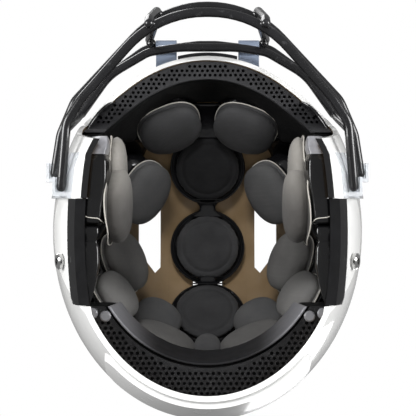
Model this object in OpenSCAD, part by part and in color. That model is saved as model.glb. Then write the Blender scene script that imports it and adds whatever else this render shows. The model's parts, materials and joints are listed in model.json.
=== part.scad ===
// Football helmet: a hard shell with a welded wire face guard, its clips, and a padded liner.
// The origin is at the middle of the footprint. The guard points to -Y and the crown to +Z.

/* [Shell] */
// Half the width of the shell at its widest level
shell_half_w = 121; // [117:0.5:125]
// Half the length of the shell at its widest level
shell_half_l = 147; // [143:0.5:151]
// Middle of the shell along the length
shell_mid_y = 14.5; // [12:0.5:17]
// Level at which the shell is widest
equator_z = 115; // [112:0.5:118]
// Height of the crown above the widest level
crown_h = 135; // [131:0.5:139]
// Height of the ellipsoid that draws the shell in below the widest level
drop_h = 196; // [190:1:204]
// How much less deep the ellipsoid is that tucks the lower sides in
tuck_depth = 26; // [18:1:28]
// Wall of the shell
shell_wall = 3.5; // [3:0.1:4]
// Half the width of the raised band over the crown
spine_half_w = 38; // [36.5:0.5:40]
// How far the band over the crown stands up
spine_rise = 2.5; // [1.5:0.1:3]
// Level at which the raised band starts
spine_z = 178; // [176:0.5:182]
// Level of the brow edge above the face
brow_z = 145; // [143:0.5:147]
// Front edge of the jaw flap at the bottom
jaw_front_y = -53; // [-56:0.5:-51]
// Height of the arch in the lower edge behind the jaw flap
arch_h = 6; // [5:0.5:8]
// Rear end of the arch in the lower edge
arch_rear_y = 66; // [62:0.5:68]
// Front end of the arch in the lower edge
arch_front_y = -11; // [-12:0.5:-9]
// Bore of the ear hole
ear_hole_d = 28; // [24:1:32]

/* [Vents] */
// Distance from the middle to the inner side of a crown vent
vent_in_x = 42; // [41:0.5:44]
// Width of a crown vent
vent_w = 19; // [16:0.5:21]
// Front end of a crown vent
vent_front_y = -24; // [-28:0.5:-20]
// Rear end of a crown vent
vent_rear_y = 54; // [50:0.5:57]
// Width of one of the two small rear vents
rear_vent_w = 9; // [7:0.5:11]

/* [Face guard] */
// Diameter of the guard's wire
wire_d = 7; // [6.5:0.1:7.4]
// Bend radius of the wire at its tight corners
bend_r = 22; // [18:0.5:24]
// Bend radius of the wire round the front
front_r = 76; // [70:0.5:78]
// Level of the chin bar
chin_z = 19; // [17:0.5:22]
// Level of the mouth bar
mouth_z = 70; // [67:0.5:73]
// Level of the brow bar and of the hinge line through the top clips
hinge_z = 150; // [149:0.5:152]
// Level of the bar under the brow bar
eye_z = 134; // [132:0.5:136]
// Distance from the middle to an upright of the guard
upright_x = 48; // [47:0.5:50]

/* [Clips] */
// Distance from the middle to a top clip
top_clip_x = 34; // [32.5:0.5:35]
// Width of a top clip
top_clip_w = 17; // [14:0.5:19]
// Thickness of the clip plates on the shell
clip_plate = 3; // [2.5:0.1:3.5]
// Bore of a clip screw
screw_d = 5; // [4.5:0.1:5.5]
// Diameter of the head of a clip screw
screw_head_d = 9.5; // [9:0.1:10.5]
// Diameter of a chin strap stud
stud_d = 12; // [11:0.5:13]

/* [Liner] */
// Radial thickness of the brow pad
brow_pad_t = 15; // [13:0.5:17]
// Level of the top of the brow pad
brow_pad_top = 180; // [176:0.5:183]
// Level of the underside of the neck pad
neck_pad_z = 15; // [13:0.5:17]
// Level of the top of the neck pad
neck_pad_top = 62; // [58:0.5:64]
// Thickness of the perforated facings
facing_t = 2; // [1.6:0.1:2.4]
// Diameter of a hole in the facings
hole_d = 2.6; // [2:0.1:2.9]
// Distance between holes in the facings
hole_pitch = 4.2; // [4:0.1:5]
// Thickness of the cushions on the crown pods
crown_cushion_t = 9; // [7:0.5:10]
// Radius of a crown cushion
crown_cushion_r = 29; // [27:0.5:30]
// Radius of the flange round a crown cushion
crown_flange_r = 33; // [32:0.5:33.5]
// Distance from the middle plane to the face of the jaw pad's body
jaw_face_x = 73; // [71:0.5:75]
// Thickness of the cushion on the jaw pad
jaw_cushion_t = 16; // [14:0.5:18]
// Thickness of the pad along the lower side of the shell
side_pad_t = 12; // [10:0.5:14]

/* [Hidden] */
$fn = 72;
form_sides = 144;
eps = 0.01;
far = 400;
seat = 0.3;
rivet_gap = 0.3;

// The shell is two half ellipsoids that share their widest level, and everything that
// follows its wall is cut from the same form, drawn in by a distance.
function half_h(z, off) = (z > equator_z ? crown_h : drop_h) - off;
function form_rest(z, off) = 1 - pow((z - equator_z) / half_h(z, off), 2);
function form_x(y, z, off = 0) = (shell_half_w - off)
  * sqrt(max(0, form_rest(z, off) - pow((y - shell_mid_y) / (shell_half_l - off), 2)));
function form_reach(x, z, off = 0) = (shell_half_l - off)
  * sqrt(max(0, form_rest(z, off) - pow(x / (shell_half_w - off), 2)));
function front_y(x, z, off = 0) = shell_mid_y - form_reach(x, z, off);
function rear_y(x, z, off = 0) = shell_mid_y + form_reach(x, z, off);
function crown_z(x, y, off = 0) = equator_z + (crown_h - off)
  * sqrt(max(0, 1 - pow(x / (shell_half_w - off), 2) - pow((y - shell_mid_y) / (shell_half_l - off), 2)));
function unit(v) = v / norm(v);

module half_form(a, b, c, up) {
  intersection() {
    scale([a, b, c]) sphere(r = 1, $fn = form_sides);
    translate([-far, -far, up ? 0 : -far]) cube([2 * far, 2 * far, far]);
  }
}

module form(off = 0) {
  a = shell_half_w - off;
  b = shell_half_l - off;
  translate([0, shell_mid_y, equator_z]) {
    half_form(a, b, crown_h - off, true);
    half_form(a, b, drop_h - off, false);
  }
}

// A wider and shallower ellipsoid crosses the form low on both sides, where the shell tucks in.
tuck_half_w = shell_half_w + 2;
tuck_half_l = 250;
tuck_drop_h = drop_h - tuck_depth;
tuck_top = 66;
tuck_reach = 60;

function tuck_x(y, z, off = 0) = (tuck_half_w - off) * sqrt(max(0,
  1 - pow((z - equator_z) / (tuck_drop_h - off), 2) - pow((y - shell_mid_y) / (tuck_half_l - off), 2)));
function wall_x(y, z, off = 0) = z < tuck_top ? min(form_x(y, z, off), tuck_x(y, z, off)) : form_x(y, z, off);

// Outward direction of an ellipsoid at a point, and of the shell at a point on it
function slope(p, a, b, c) = unit([p[0] / pow(a, 2), (p[1] - shell_mid_y) / pow(b, 2), (p[2] - equator_z) / pow(c, 2)]);
function outward(p) = wall_x(p[1], p[2]) < form_x(p[1], p[2])
  ? slope(p, tuck_half_w, tuck_half_l, tuck_drop_h)
  : slope(p, shell_half_w, shell_half_l, half_h(p[2], 0));

module tuck_cut(off) difference() {
  slab(shell_mid_y - tuck_reach, shell_mid_y + tuck_reach, -far, tuck_top);
  translate([0, shell_mid_y, equator_z]) scale([tuck_half_w - off, tuck_half_l - off, tuck_drop_h - off])
    sphere(r = 1, $fn = form_sides);
}

module tucked_form(off = 0) difference() {
  form(off);
  tuck_cut(off);
}

// The raised band over the crown, as a solid that the form is joined with
module spine(off = 0) {
  w = spine_half_w - off;
  intersection() {
    translate([0, shell_mid_y, equator_z])
      half_form(shell_half_w - off + spine_rise, shell_half_l - off + spine_rise, crown_h - off + spine_rise, true);
    translate([-w, -far, spine_z + off]) cube([2 * w, 2 * far, far]);
  }
}

// The room inside the shell, drawn in by a gap from its inner wall
module room(gap = 0) {
  tucked_form(shell_wall + gap);
  spine(shell_wall + gap);
}

module both_sides() {
  children();
  mirror([1, 0, 0]) children();
}

module side_profile(w = far) {
  rotate([90, 0, 90]) translate([0, 0, -w]) linear_extrude(2 * w) children();
}

module slab(y0, y1, z0, z1, x0 = -far, x1 = far) {
  translate([x0, y0, z0]) cube([x1 - x0, y1 - y0, z1 - z0]);
}

// A frame on a point with its Z axis along a direction and its X axis level
module facing(p, n) {
  flat = norm([n[0], n[1]]) < eps ? [1, 0, 0] : unit([-n[1], n[0], 0]);
  up = cross(n, flat);
  multmatrix([[flat[0], up[0], n[0], p[0]], [flat[1], up[1], n[1], p[1]], [flat[2], up[2], n[2], p[2]]])
    children();
}

// Side view of the face opening's edge, from the chin up to the brow, moved by a step
brow_y = front_y(0, brow_z);
function face_edge(step = 0) = [
  [jaw_front_y + step, 0], [jaw_front_y - 3 + step, 28], [jaw_front_y - 6 + step, 56],
  [jaw_front_y - 11 + step, 82], [jaw_front_y - 16 + step, brow_z - 37 + step / 2],
  [jaw_front_y - 23 + step, brow_z - 21 + step], [jaw_front_y - 33 + step / 2, brow_z - 10 + step],
  [jaw_front_y - 47, brow_z - 4 + step], [brow_y, brow_z + step], [-far, brow_z + 14 + step]];

module face_opening(step = 0) {
  side_profile() polygon(concat([[-far, -far], [jaw_front_y + step, -far]], face_edge(step)));
}

// Crown vents: a long hole with slanted ends on each side of the band
module vent_outline() {
  slant = vent_w / 2;
  polygon([[vent_in_x, vent_front_y], [vent_in_x + vent_w - slant, vent_front_y - 3],
    [vent_in_x + vent_w, vent_front_y + slant], [vent_in_x + vent_w, vent_rear_y - 2 * slant],
    [vent_in_x + slant / 2, vent_rear_y], [vent_in_x, vent_rear_y - slant / 2]]);
}

rear_vent_y = 60;
rear_vent_l = 12;
rear_vent_gap = 8;
ear_y = 6;
ear_z = 92;

module vents() {
  both_sides() {
    translate([0, 0, equator_z]) linear_extrude(far) vent_outline();
    translate([rear_vent_gap / 2, rear_vent_y, equator_z]) cube([rear_vent_w, rear_vent_l, far]);
    translate([0, ear_y, ear_z]) rotate([0, 90, 0]) cylinder(h = far, d = ear_hole_d);
  }
}

// Places of the fasteners on the shell
top_screw_z = hinge_z + 18;
top_screw = [top_clip_x, front_y(top_clip_x, top_screw_z), top_screw_z];
side_screw_y = -36;
side_screw_z = 41;
side_screw = [form_x(side_screw_y, side_screw_z), side_screw_y, side_screw_z];
stud_low = [wall_x(35, 30), 35, 30];
stud_high = [form_x(-35, 150), -35, 150];
stud_shank_d = 5;

module fastener_bores() {
  both_sides() {
    for (p = [top_screw, side_screw])
      facing(p, outward(p)) cylinder(h = 40, d = screw_d, center = true);
    for (p = [stud_low, stud_high])
      facing(p, outward(p)) cylinder(h = 40, d = stud_shank_d + 2 * rivet_gap, center = true);
  }
}

module shell() color("white") difference() {
  union() {
    tucked_form();
    spine();
  }
  room();
  slab(-far, far, -far, 0);
  slab(arch_front_y, arch_rear_y, -eps, arch_h);
  face_opening();
  vents();
  fastener_bores();
}

// Bumpers are strips on the outside of the shell
bumper_t = 3.5;
bumper_half_w = top_clip_x - top_clip_w / 2 - 1;
front_bumper_h = 24;
rear_bumper_z = 3;
rear_bumper_h = 30;
rear_bumper_half_w = 74;

module front_bumper() color([0.08, 0.08, 0.09]) difference() {
  intersection() {
    form(-bumper_t);
    slab(-far, 0, brow_z + 2, brow_z + 2 + front_bumper_h, -bumper_half_w, bumper_half_w);
  }
  form();
}

module rear_bumper() color([0.93, 0.93, 0.93]) difference() {
  intersection() {
    form(-bumper_t);
    translate([0, shell_mid_y, rear_bumper_z + rear_bumper_h / 2]) rotate([-90, 0, 0]) linear_extrude(far)
      offset(r = 9) offset(delta = -9) square([2 * rear_bumper_half_w, rear_bumper_h], center = true);
  }
  form();
}

// Rubber channel on the arched part of the shell's lower edge
trim_wall = 1.4;
trim_h = 9;
trim_end_gap = 0.5;

module edge_trim(side) color([0.06, 0.06, 0.07]) difference() {
  intersection() {
    tucked_form(-trim_wall);
    slab(arch_front_y + trim_end_gap, arch_rear_y - trim_end_gap, arch_h - 2, arch_h + trim_h,
      side < 0 ? -far : 0, side < 0 ? 0 : far);
  }
  tucked_form(shell_wall + trim_wall);
  difference() {
    tucked_form();
    tucked_form(shell_wall);
    slab(-far, far, -far, arch_h);
  }
}

module edge_trim_left() edge_trim(-1);
module edge_trim_right() edge_trim(1);

// The brow pad follows the face opening's edge, and its perforated facing lies under it.
pad_lift = 2;
pad_side_y = jaw_front_y - 6;

module brow_room(gap, lift) {
  difference() {
    intersection() {
      form(shell_wall + gap);
      slab(-far, pad_side_y, brow_z - 45, brow_pad_top);
    }
    face_opening(lift);
  }
}

module brow_pad() color([0.1, 0.1, 0.11]) difference() {
  brow_room(seat, pad_lift + facing_t);
  form(shell_wall + brow_pad_t);
  pod_clearance(front_pod);
  both_sides() facing(top_screw, outward(top_screw))
    translate([0, 0, -shell_wall - nut_pocket]) cylinder(h = far, d = nut_d + 2);
}

// True where a hole at a plan position stays clear of the facing's two curved borders
function in_band(x, y, z, out, in) =
  pow(x / (shell_half_w - out), 2) + pow((y - shell_mid_y) / (shell_half_l - out), 2) < form_rest(z, out)
  && pow(x / (shell_half_w - in), 2) + pow((y - shell_mid_y) / (shell_half_l - in), 2) > form_rest(z, in);

// Level of the brow pad's underside above a plan position
function edge_level(y) = lookup(y, [for (p = face_edge(pad_lift)) [p[0], p[1]]]);

row_step = hole_pitch * sqrt(3) / 2;
hole_border = hole_d / 2 + 1.2;
brow_hole_rear_y = jaw_front_y - 20;

module brow_pad_facing() color([0.29, 0.29, 0.3]) difference() {
  brow_room(seat, pad_lift);
  brow_room(-far / 100, pad_lift + facing_t);
  form(shell_wall + brow_pad_t);
  for (row = [0:ceil((brow_hole_rear_y - brow_y) / row_step)])
    for (col = [-30:30]) {
      y = brow_hole_rear_y - row * row_step;
      x = (col + (row % 2) / 2) * hole_pitch;
      z = edge_level(y);
      if (in_band(x, y, z, shell_wall + seat + hole_border, shell_wall + brow_pad_t - hole_border))
        translate([x, y, z - 6]) cylinder(h = 16, d = hole_d, $fn = 16);
    }
}

// The neck pad fills the rear rim between the shell and an oval opening.
neck_half_w = 86;
neck_half_l = 95;
neck_lean = 5;
neck_band_t = 2;
neck_front_y = arch_rear_y + 1;

module neck_oval(grow = 0) {
  translate([0, shell_mid_y, 0]) scale([neck_half_w + grow, neck_half_l + grow, 1])
    cylinder(h = far / 2, r1 = 1, r2 = 1 - neck_lean * 4 / neck_half_l);
}

module neck_room(z0, z1, grow) {
  difference() {
    intersection() {
      form(shell_wall + seat);
      slab(neck_front_y, far, z0, z1);
    }
    neck_oval(grow);
  }
}

module neck_pad() color([0.1, 0.1, 0.11]) difference() {
  neck_room(neck_pad_z + facing_t, neck_pad_top, neck_band_t);
  pod_clearance(nape_pod);
}

module neck_band() color([0.5, 0.5, 0.52]) intersection() {
  neck_room(neck_pad_z, neck_pad_top, 0);
  neck_oval(neck_band_t);
}

snap_d = 8;
snap_h = 3;
snap_margin = 1.5;
snap_y = neck_front_y + snap_d / 2 + 1;
snap_x = form_x(snap_y, neck_pad_z, shell_wall + seat) - snap_d / 2 - snap_margin;
snap_step = [snap_d + snap_margin, 2];

function level_half_w(z, off) = (shell_half_w - off) * sqrt(form_rest(z, off));
function level_half_l(z, off) = (shell_half_l - off) * sqrt(form_rest(z, off));

module neck_pad_facing() color([0.15, 0.15, 0.16]) translate([0, 0, neck_pad_z]) linear_extrude(facing_t) difference() {
  intersection() {
    translate([0, shell_mid_y]) scale([level_half_w(neck_pad_z, shell_wall + seat),
      level_half_l(neck_pad_z, shell_wall + seat)]) circle(r = 1);
    translate([-far, neck_front_y]) square([2 * far, far]);
  }
  translate([0, shell_mid_y]) scale([neck_half_w + neck_band_t, neck_half_l + neck_band_t]) circle(r = 1);
  for (row = [0:18])
    for (col = [-22:22]) {
      y = neck_front_y + 12 + row * row_step;
      x = (col + (row % 2) / 2) * hole_pitch;
      oval = pow(x / (neck_half_w + neck_band_t + hole_border), 2)
        + pow((y - shell_mid_y) / (neck_half_l + neck_band_t + hole_border), 2);
      if (oval > 1 && in_band(x, y, neck_pad_z, shell_wall + seat + hole_border, far / 5))
        translate([x, y]) circle(d = hole_d, $fn = 16);
    }
}

module pad_snaps() color([0.55, 0.55, 0.56])
  for (k = [0, 1])
    both_sides() translate([snap_x - k * snap_step[0], snap_y + k * snap_step[1], neck_pad_z - snap_h])
      rotate_extrude() polygon([[0, 0], [snap_d / 2 - 1, 0], [snap_d / 2, 1], [snap_d / 2, snap_h], [0, snap_h]]);

// Pads along the lower sides, between the jaw pads and the neck pad
side_pad_z = 12;
side_pad_top = 66;
side_pad_front_y = 10;

module side_pad(side) color([0.1, 0.1, 0.11]) difference() {
  intersection() {
    tucked_form(shell_wall + trim_wall + seat);
    slab(side_pad_front_y, neck_front_y - 1, side_pad_z, side_pad_top, side < 0 ? -far : 0, side < 0 ? 0 : far);
  }
  tucked_form(shell_wall + trim_wall + side_pad_t);
  pod_clearance(nape_pod);
}

module side_pad_left() side_pad(-1);
module side_pad_right() side_pad(1);

// Outline of a cushion with rounded corners and sides that are drawn in between them
function sgn_pow(v, e) = sign(v) * pow(abs(v), e);
function pillow_edge(w, h, n, count) = [for (i = [0:count - 1])
  let (t = 360 * i / count, pinch = 1 - 0.035 * (1 + cos(4 * t)) / 2 * (n > 2 ? 1 : 0))
  [w / 2 * pinch * sgn_pow(cos(t), 2 / n), h / 2 * pinch * sgn_pow(sin(t), 2 / n)]];

pillow_count = 28;
pillow_seam = 0.24;
pillow_tilts = [0, 20, 42, 65];

// A crowned pillow on its flat back: the seam ring is widest, and the rings above it close over the crown
module pillow(w, h, t, n = 2.8) {
  edge = pillow_edge(w, h, n, pillow_count);
  seam_z = t * pillow_seam;
  crown = t - seam_z;
  rings = concat([[0.88, 0]], [for (a = pillow_tilts) [pow(cos(a), 0.62), seam_z + crown * sin(a)]]);
  last = len(rings) * pillow_count;
  points = concat([for (r = rings, p = edge) [p[0] * r[0], p[1] * r[0], r[1]]], [[0, 0, 0], [0, 0, t]]);
  sides = [for (k = [0:len(rings) - 2], i = [0:pillow_count - 1])
    let (a = k * pillow_count + i, b = k * pillow_count + (i + 1) % pillow_count)
    [a, a + pillow_count, b + pillow_count, b]];
  bottom = [for (i = [0:pillow_count - 1]) [last, i, (i + 1) % pillow_count]];
  top = [for (i = [0:pillow_count - 1])
    let (a = last - pillow_count + i, b = last - pillow_count + (i + 1) % pillow_count) [last + 1, b, a]];
  polyhedron(points = points, faces = concat(sides, bottom, top), convexity = 4);
}

// Where a pod's face lies: a plan position, a level, and the way it looks
function pod_dir(pod) = unit([-pod[3] * pod[0][0], -pod[3] * (pod[0][1] - shell_mid_y), pod[4]]);

module at_pod(pod, side = 1) {
  facing([side * pod[0][0], pod[0][1], pod[0][2]],
    [side * pod_dir(pod)[0], pod_dir(pod)[1], pod_dir(pod)[2]]) children();
}

// Each entry: centre of the pod's face, cushion size, plan pull, upward pull of its direction
function pod_at(x, y, z, w, h, t, plan, up) = [[x, y, z], [w, h], t, plan, up];
front_pod = pod_at(33, front_y(33, 188) + 28, 188, 54, 50, 15, 1, -74);
temple_pod = pod_at(form_x(-18, 196) - 36, -18, 196, 56, 44, 15, 1, -66);
side_pod = pod_at(form_x(42, 146) - 43, 42, 150, 54, 46, 15, 1, -56);
nape_pod = pod_at(form_x(66, 90) - 38, 67, 90, 42, 42, 14, 1, -36);
rear_upper_pod = pod_at(44, rear_y(44, 168) - 46, 170, 42, 42, 13, 1, -72);
rear_pod = pod_at(37, rear_y(37, 118) - 49, 118, 54, 42, 14, 1, -24);
rear_mid_pod = pod_at(0, rear_y(0, 122) - 48.5, 121, 23, 42, 10, 1, -45);

pod_inset = 5;

// The glossy body behind a cushion reaches out to the shell
module pod_body(pod, side, reach = 60) {
  intersection() {
    form(shell_wall + seat);
    at_pod(pod, side) translate([0, 0, -reach]) linear_extrude(reach)
      polygon(pillow_edge(pod[1][0] - pod_inset, pod[1][1] - pod_inset, 2.8, pillow_count));
  }
}

// Room that a pod and its cushion need in a pad beside them
module pod_clearance(pod, reach = 60) both_sides() at_pod(pod)
  translate([0, 0, -reach]) linear_extrude(reach + pod[2] + 1)
    polygon(pillow_edge(pod[1][0] + 2, pod[1][1] + 2, 2.8, pillow_count));

module pod_cushion(pod, side) color([0.2, 0.2, 0.2])
  at_pod(pod, side) translate([0, 0, seat]) pillow(pod[1][0], pod[1][1], pod[2]);

module pod_pair(pod) color([0.07, 0.07, 0.08]) {
  pod_body(pod, 1);
  pod_body(pod, -1);
}

module front_pods() pod_pair(front_pod);
module front_cushion_left() pod_cushion(front_pod, -1);
module front_cushion_right() pod_cushion(front_pod, 1);
module temple_pods() pod_pair(temple_pod);
module temple_cushion_left() pod_cushion(temple_pod, -1);
module temple_cushion_right() pod_cushion(temple_pod, 1);
module side_pods() pod_pair(side_pod);
module side_cushion_left() pod_cushion(side_pod, -1);
module side_cushion_right() pod_cushion(side_pod, 1);
module nape_pods() pod_pair(nape_pod);
module nape_cushion_left() pod_cushion(nape_pod, -1);
module nape_cushion_right() pod_cushion(nape_pod, 1);
module rear_pods() {
  pod_pair(rear_pod);
  pod_pair(rear_upper_pod);
  color([0.07, 0.07, 0.08]) pod_body(rear_mid_pod, 1);
}
module rear_upper_cushion_left() pod_cushion(rear_upper_pod, -1);
module rear_upper_cushion_right() pod_cushion(rear_upper_pod, 1);
module rear_cushion_left() pod_cushion(rear_pod, -1);
module rear_cushion_right() pod_cushion(rear_pod, 1);
module rear_cushion_middle() pod_cushion(rear_mid_pod, 1);

// Crown pods: a round body with a flange, and a cushion disc on it
crown_flange_t = 3;
crown_body_r = 26;
crown_face_drop = 14;
crown_places = [[-39, -14], [31, 3], [88.5, 38]];

module at_crown(i) {
  y = crown_places[i][0];
  z = crown_z(0, y, shell_wall + crown_face_drop) - (i == 1 ? 0 : 2);
  translate([0, y, z]) rotate([180 - crown_places[i][1], 0, 0]) children();
}

module crown_pods() color([0.07, 0.07, 0.08]) intersection() {
  room(seat);
  for (i = [0:len(crown_places) - 1])
    at_crown(i) {
      translate([0, 0, -crown_flange_t]) cylinder(h = crown_flange_t, r = crown_flange_r);
      translate([0, 0, -far / 8]) cylinder(h = far / 8 - eps, r = crown_body_r);
    }
}

module crown_cushion(i) color([0.2, 0.2, 0.2])
  at_crown(i) translate([0, 0, seat]) pillow(2 * crown_cushion_r, 2 * crown_cushion_r, crown_cushion_t, 2);

module crown_cushion_front() crown_cushion(0);
module crown_cushion_middle() crown_cushion(1);
module crown_cushion_rear() crown_cushion(2);

// Jaw pads: a vinyl body between the flap and a flat face, and a cushion on that face
jaw_pad_z = 7;
jaw_pad_h = 76;
jaw_pad_front_y = jaw_front_y - 3;
jaw_pad_rear_y = side_pad_front_y - 3;
jaw_cushion_shift = 5;
jaw_pocket_d = 17;
jaw_pocket_depth = 10;
jaw_cushion_w = 72;

module jaw_pad_outline() {
  offset(r = 12) offset(delta = -12) polygon([[jaw_pad_front_y, jaw_pad_z], [jaw_pad_rear_y - 12, jaw_pad_z],
    [jaw_pad_rear_y, jaw_pad_z + 30], [jaw_pad_rear_y, jaw_pad_z + jaw_pad_h],
    [jaw_pad_front_y - 6, jaw_pad_z + jaw_pad_h]]);
}

// The body is clear of the edge trim and has a pocket over the nut of the side clip's screw.
module jaw_pad(side) color([0.09, 0.09, 0.1]) difference() {
  intersection() {
    tucked_form(shell_wall + seat);
    side_profile() jaw_pad_outline();
    slab(-far, far, 0, far, side < 0 ? -far : jaw_face_x, side < 0 ? -jaw_face_x : far);
  }
  difference() {
    slab(arch_front_y - 1, far, 0, arch_h + trim_h + 1);
    tucked_form(shell_wall + trim_wall + seat);
  }
  both_sides() translate([side_screw[0] - jaw_pocket_depth, side_screw[1] + 1.6, side_screw[2] + 1.3])
    rotate([0, 90, 0]) cylinder(h = far, d = jaw_pocket_d);
}

module jaw_cushion(side) color([0.62, 0.6, 0.58])
  translate([side * (jaw_face_x - seat), (jaw_pad_front_y + jaw_pad_rear_y) / 2 + jaw_cushion_shift,
    jaw_pad_z + jaw_pad_h / 2])
    rotate([90, 0, -side * 90]) pillow(jaw_cushion_w, jaw_pad_h, jaw_cushion_t, 3);

module jaw_pad_left() jaw_pad(-1);
module jaw_pad_right() jaw_pad(1);
module jaw_cushion_left() jaw_cushion(-1);
module jaw_cushion_right() jaw_cushion(1);

// A wire is swept along straight runs with round bends, and its ends are rounded.
wire_sides = 14;
bend_step = 8;
cap_angles = [72, 48, 24];
function corner_u(pts, i) = unit(pts[i - 1] - pts[i]);
function corner_v(pts, i) = unit(pts[i + 1] - pts[i]);
function corner_open(pts, i) = acos(max(-1, min(1, corner_u(pts, i) * corner_v(pts, i))));
function tangent_len(pts, i, r) = r / tan(corner_open(pts, i) / 2);

// Points round one corner of the route
function bend_points(pts, i, r) =
  let (u = corner_u(pts, i), v = corner_v(pts, i), open = corner_open(pts, i),
    mid = pts[i] + unit(u + v) * r / sin(open / 2),
    start = unit(pts[i] + u * tangent_len(pts, i, r) - mid),
    stop = unit(pts[i] + v * tangent_len(pts, i, r) - mid),
    side = cross(unit(cross(start, stop)), start),
    steps = ceil((180 - open) / bend_step))
  [for (k = [0:steps]) let (a = k * (180 - open) / steps) mid + (start * cos(a) + side * sin(a)) * r];

function route_points(pts, radii) = concat([pts[0]],
  [for (i = [1:len(pts) - 2]) for (p = bend_points(pts, i, radii[i])) p], [pts[len(pts) - 1]]);

// Each ring of the tube: its middle and its share of the full radius
function tube_rings(line, r) =
  let (last = len(line) - 1, first_run = unit(line[1] - line[0]), last_run = unit(line[last] - line[last - 1]))
  concat([for (a = cap_angles) [line[0] - first_run * r * sin(a), cos(a)]],
    [for (p = line) [p, 1]],
    [for (i = [len(cap_angles) - 1:-1:0])
      [line[last] + last_run * r * sin(cap_angles[i]), cos(cap_angles[i])]]);

function ring_runs(rings) = [for (i = [0:len(rings) - 1])
  unit(rings[min(i + 1, len(rings) - 1)][0] - rings[max(i - 1, 0)][0])];

function level_side(run) = unit(cross(run, abs(run[2]) > 0.9 ? [0, 1, 0] : [0, 0, 1]));

// Sides of the rings, carried along the route without twisting
function ring_sides(runs) = [for (i = 0, n = level_side(runs[0]); i < len(runs);
  i = i + 1, n = i < len(runs) ? unit(n - (n * runs[i]) * runs[i]) : n) n];

module tube(line, d) {
  rings = tube_rings(line, d / 2);
  runs = ring_runs(rings);
  sides = ring_sides(runs);
  n = wire_sides;
  last = len(rings) * n;
  points = concat([for (i = [0:len(rings) - 1], k = [0:n - 1])
    let (a = 360 * k / n, up = cross(runs[i], sides[i]))
    rings[i][0] + (sides[i] * cos(a) + up * sin(a)) * d / 2 * rings[i][1]],
    [line[0] - runs[0] * d / 2, line[len(line) - 1] + runs[len(runs) - 1] * d / 2]);
  walls = [for (i = [0:len(rings) - 2], k = [0:n - 1])
    let (a = i * n + k, b = i * n + (k + 1) % n) [a, a + n, b + n, b]];
  tip = [for (k = [0:n - 1]) [last, k, (k + 1) % n]];
  tail = [for (k = [0:n - 1]) [last + 1, last - n + (k + 1) % n, last - n + k]];
  polyhedron(points = points, faces = concat(walls, tip, tail), convexity = 6);
}

module wire(pts, radii, d = wire_d) tube(route_points(pts, radii), d);

function mirrored(half) = concat([for (i = [len(half) - 1:-1:0]) [-half[i][0], half[i][1], half[i][2]]], half);
function paired(list) = concat([for (i = [len(list) - 1:-1:0]) list[i]], list);

// Routes of the wires, each from the middle to one side, with a bend radius for each point
hinge_y = brow_y - 7.5;
// The front line of the guard, and its widest place
guard_y = brow_y - 11;
guard_x = shell_half_w - 9;
wire_gap = 1.2;
clip_wall = 1.9;
chin_end = [wall_x(-19, chin_z) + wire_gap + wire_d / 2 + 1, -19, chin_z];
mouth_end = [form_x(-30, mouth_z) + wire_gap + wire_d / 2, -30, mouth_z];
chin_route = [[36, guard_y - 5.5, chin_z], [guard_x - 21, guard_y + 57, chin_z],
  [guard_x - 10, guard_y + 74, chin_z], chin_end];
mouth_route = [[34, guard_y - 18, mouth_z], [guard_x - 11, guard_y + 54, mouth_z],
  [guard_x, guard_y + 80, mouth_z], mouth_end];
bar_radii = [front_r, bend_r, bend_r, bend_r];
brow_flat_x = top_clip_x + top_clip_w / 2 + 7;
brow_route = [[brow_flat_x, hinge_y, hinge_z], [guard_x - 30, guard_y + 27, hinge_z],
  [guard_x - 8, guard_y + 62, hinge_z - 22], [guard_x, guard_y + 79, mouth_z + wire_d - 1]];
brow_radii = [bend_r, 2 * bend_r, bend_r, bend_r];
eye_route = [[24, hinge_y - 1, eye_z], [brow_flat_x - 1, hinge_y + 3, eye_z],
  [guard_x - 32, guard_y + 28, eye_z], [guard_x - 10, guard_y + 60, hinge_z - 21]];
upright_route = [[upright_x - 6, guard_y + 3.3, chin_z - 6], [upright_x - 6, guard_y - 1, chin_z + 3],
  [upright_x - 9.5, guard_y - 14.3, mouth_z], [upright_x - 6, guard_y - 10, mouth_z + 38],
  [upright_x, hinge_y - wire_d + 0.5, hinge_z]];
upright_radii = [bend_r / 2, bend_r / 2, bend_r, 2 * bend_r, bend_r];

module guard_finish() color([0.08, 0.08, 0.08]) children();

// The brow bar turns in the top clips, where it is a true round rod, and bows forward between them.
bow = 2;
rod_in_x = top_clip_x - top_clip_w / 2 - 1;
rod_out_x = top_clip_x + top_clip_w / 2 - 1;
bow_route = [[rod_in_x / 3, hinge_y - bow, hinge_z], [rod_in_x, hinge_y, hinge_z], [rod_in_x + wire_d, hinge_y, hinge_z]];

module brow_bar() guard_finish() {
  both_sides() {
    translate([rod_in_x, hinge_y, hinge_z]) rotate([0, 90, 0]) cylinder(h = rod_out_x - rod_in_x, d = wire_d);
    tube([for (p = concat([[rod_out_x - wire_d, hinge_y, hinge_z]],
      route_points(mirrored(brow_route), paired(brow_radii)))) if (p[0] > rod_out_x - wire_d - eps) p], wire_d - eps);
  }
  wire(mirrored(bow_route), [2 * bend_r, bend_r, bend_r, bend_r, bend_r, 2 * bend_r], wire_d - eps);
}
module eye_bar() guard_finish() wire(mirrored(eye_route), paired(concat([front_r], brow_radii)));
module mouth_bar() guard_finish() wire(mirrored(mouth_route), paired(bar_radii));
module chin_bar() guard_finish() wire(mirrored(chin_route), paired(bar_radii));
module upright_right() guard_finish() wire(upright_route, upright_radii);
module upright_left() mirror([1, 0, 0]) upright_right();

// Top clips: a ring round the brow bar, a web, and a plate screwed to the shell
clip_ring_d = wire_d + 2 * clip_wall + 1;
clip_gap = 0.3;
clip_plate_top = spine_z - 0.5;

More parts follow.
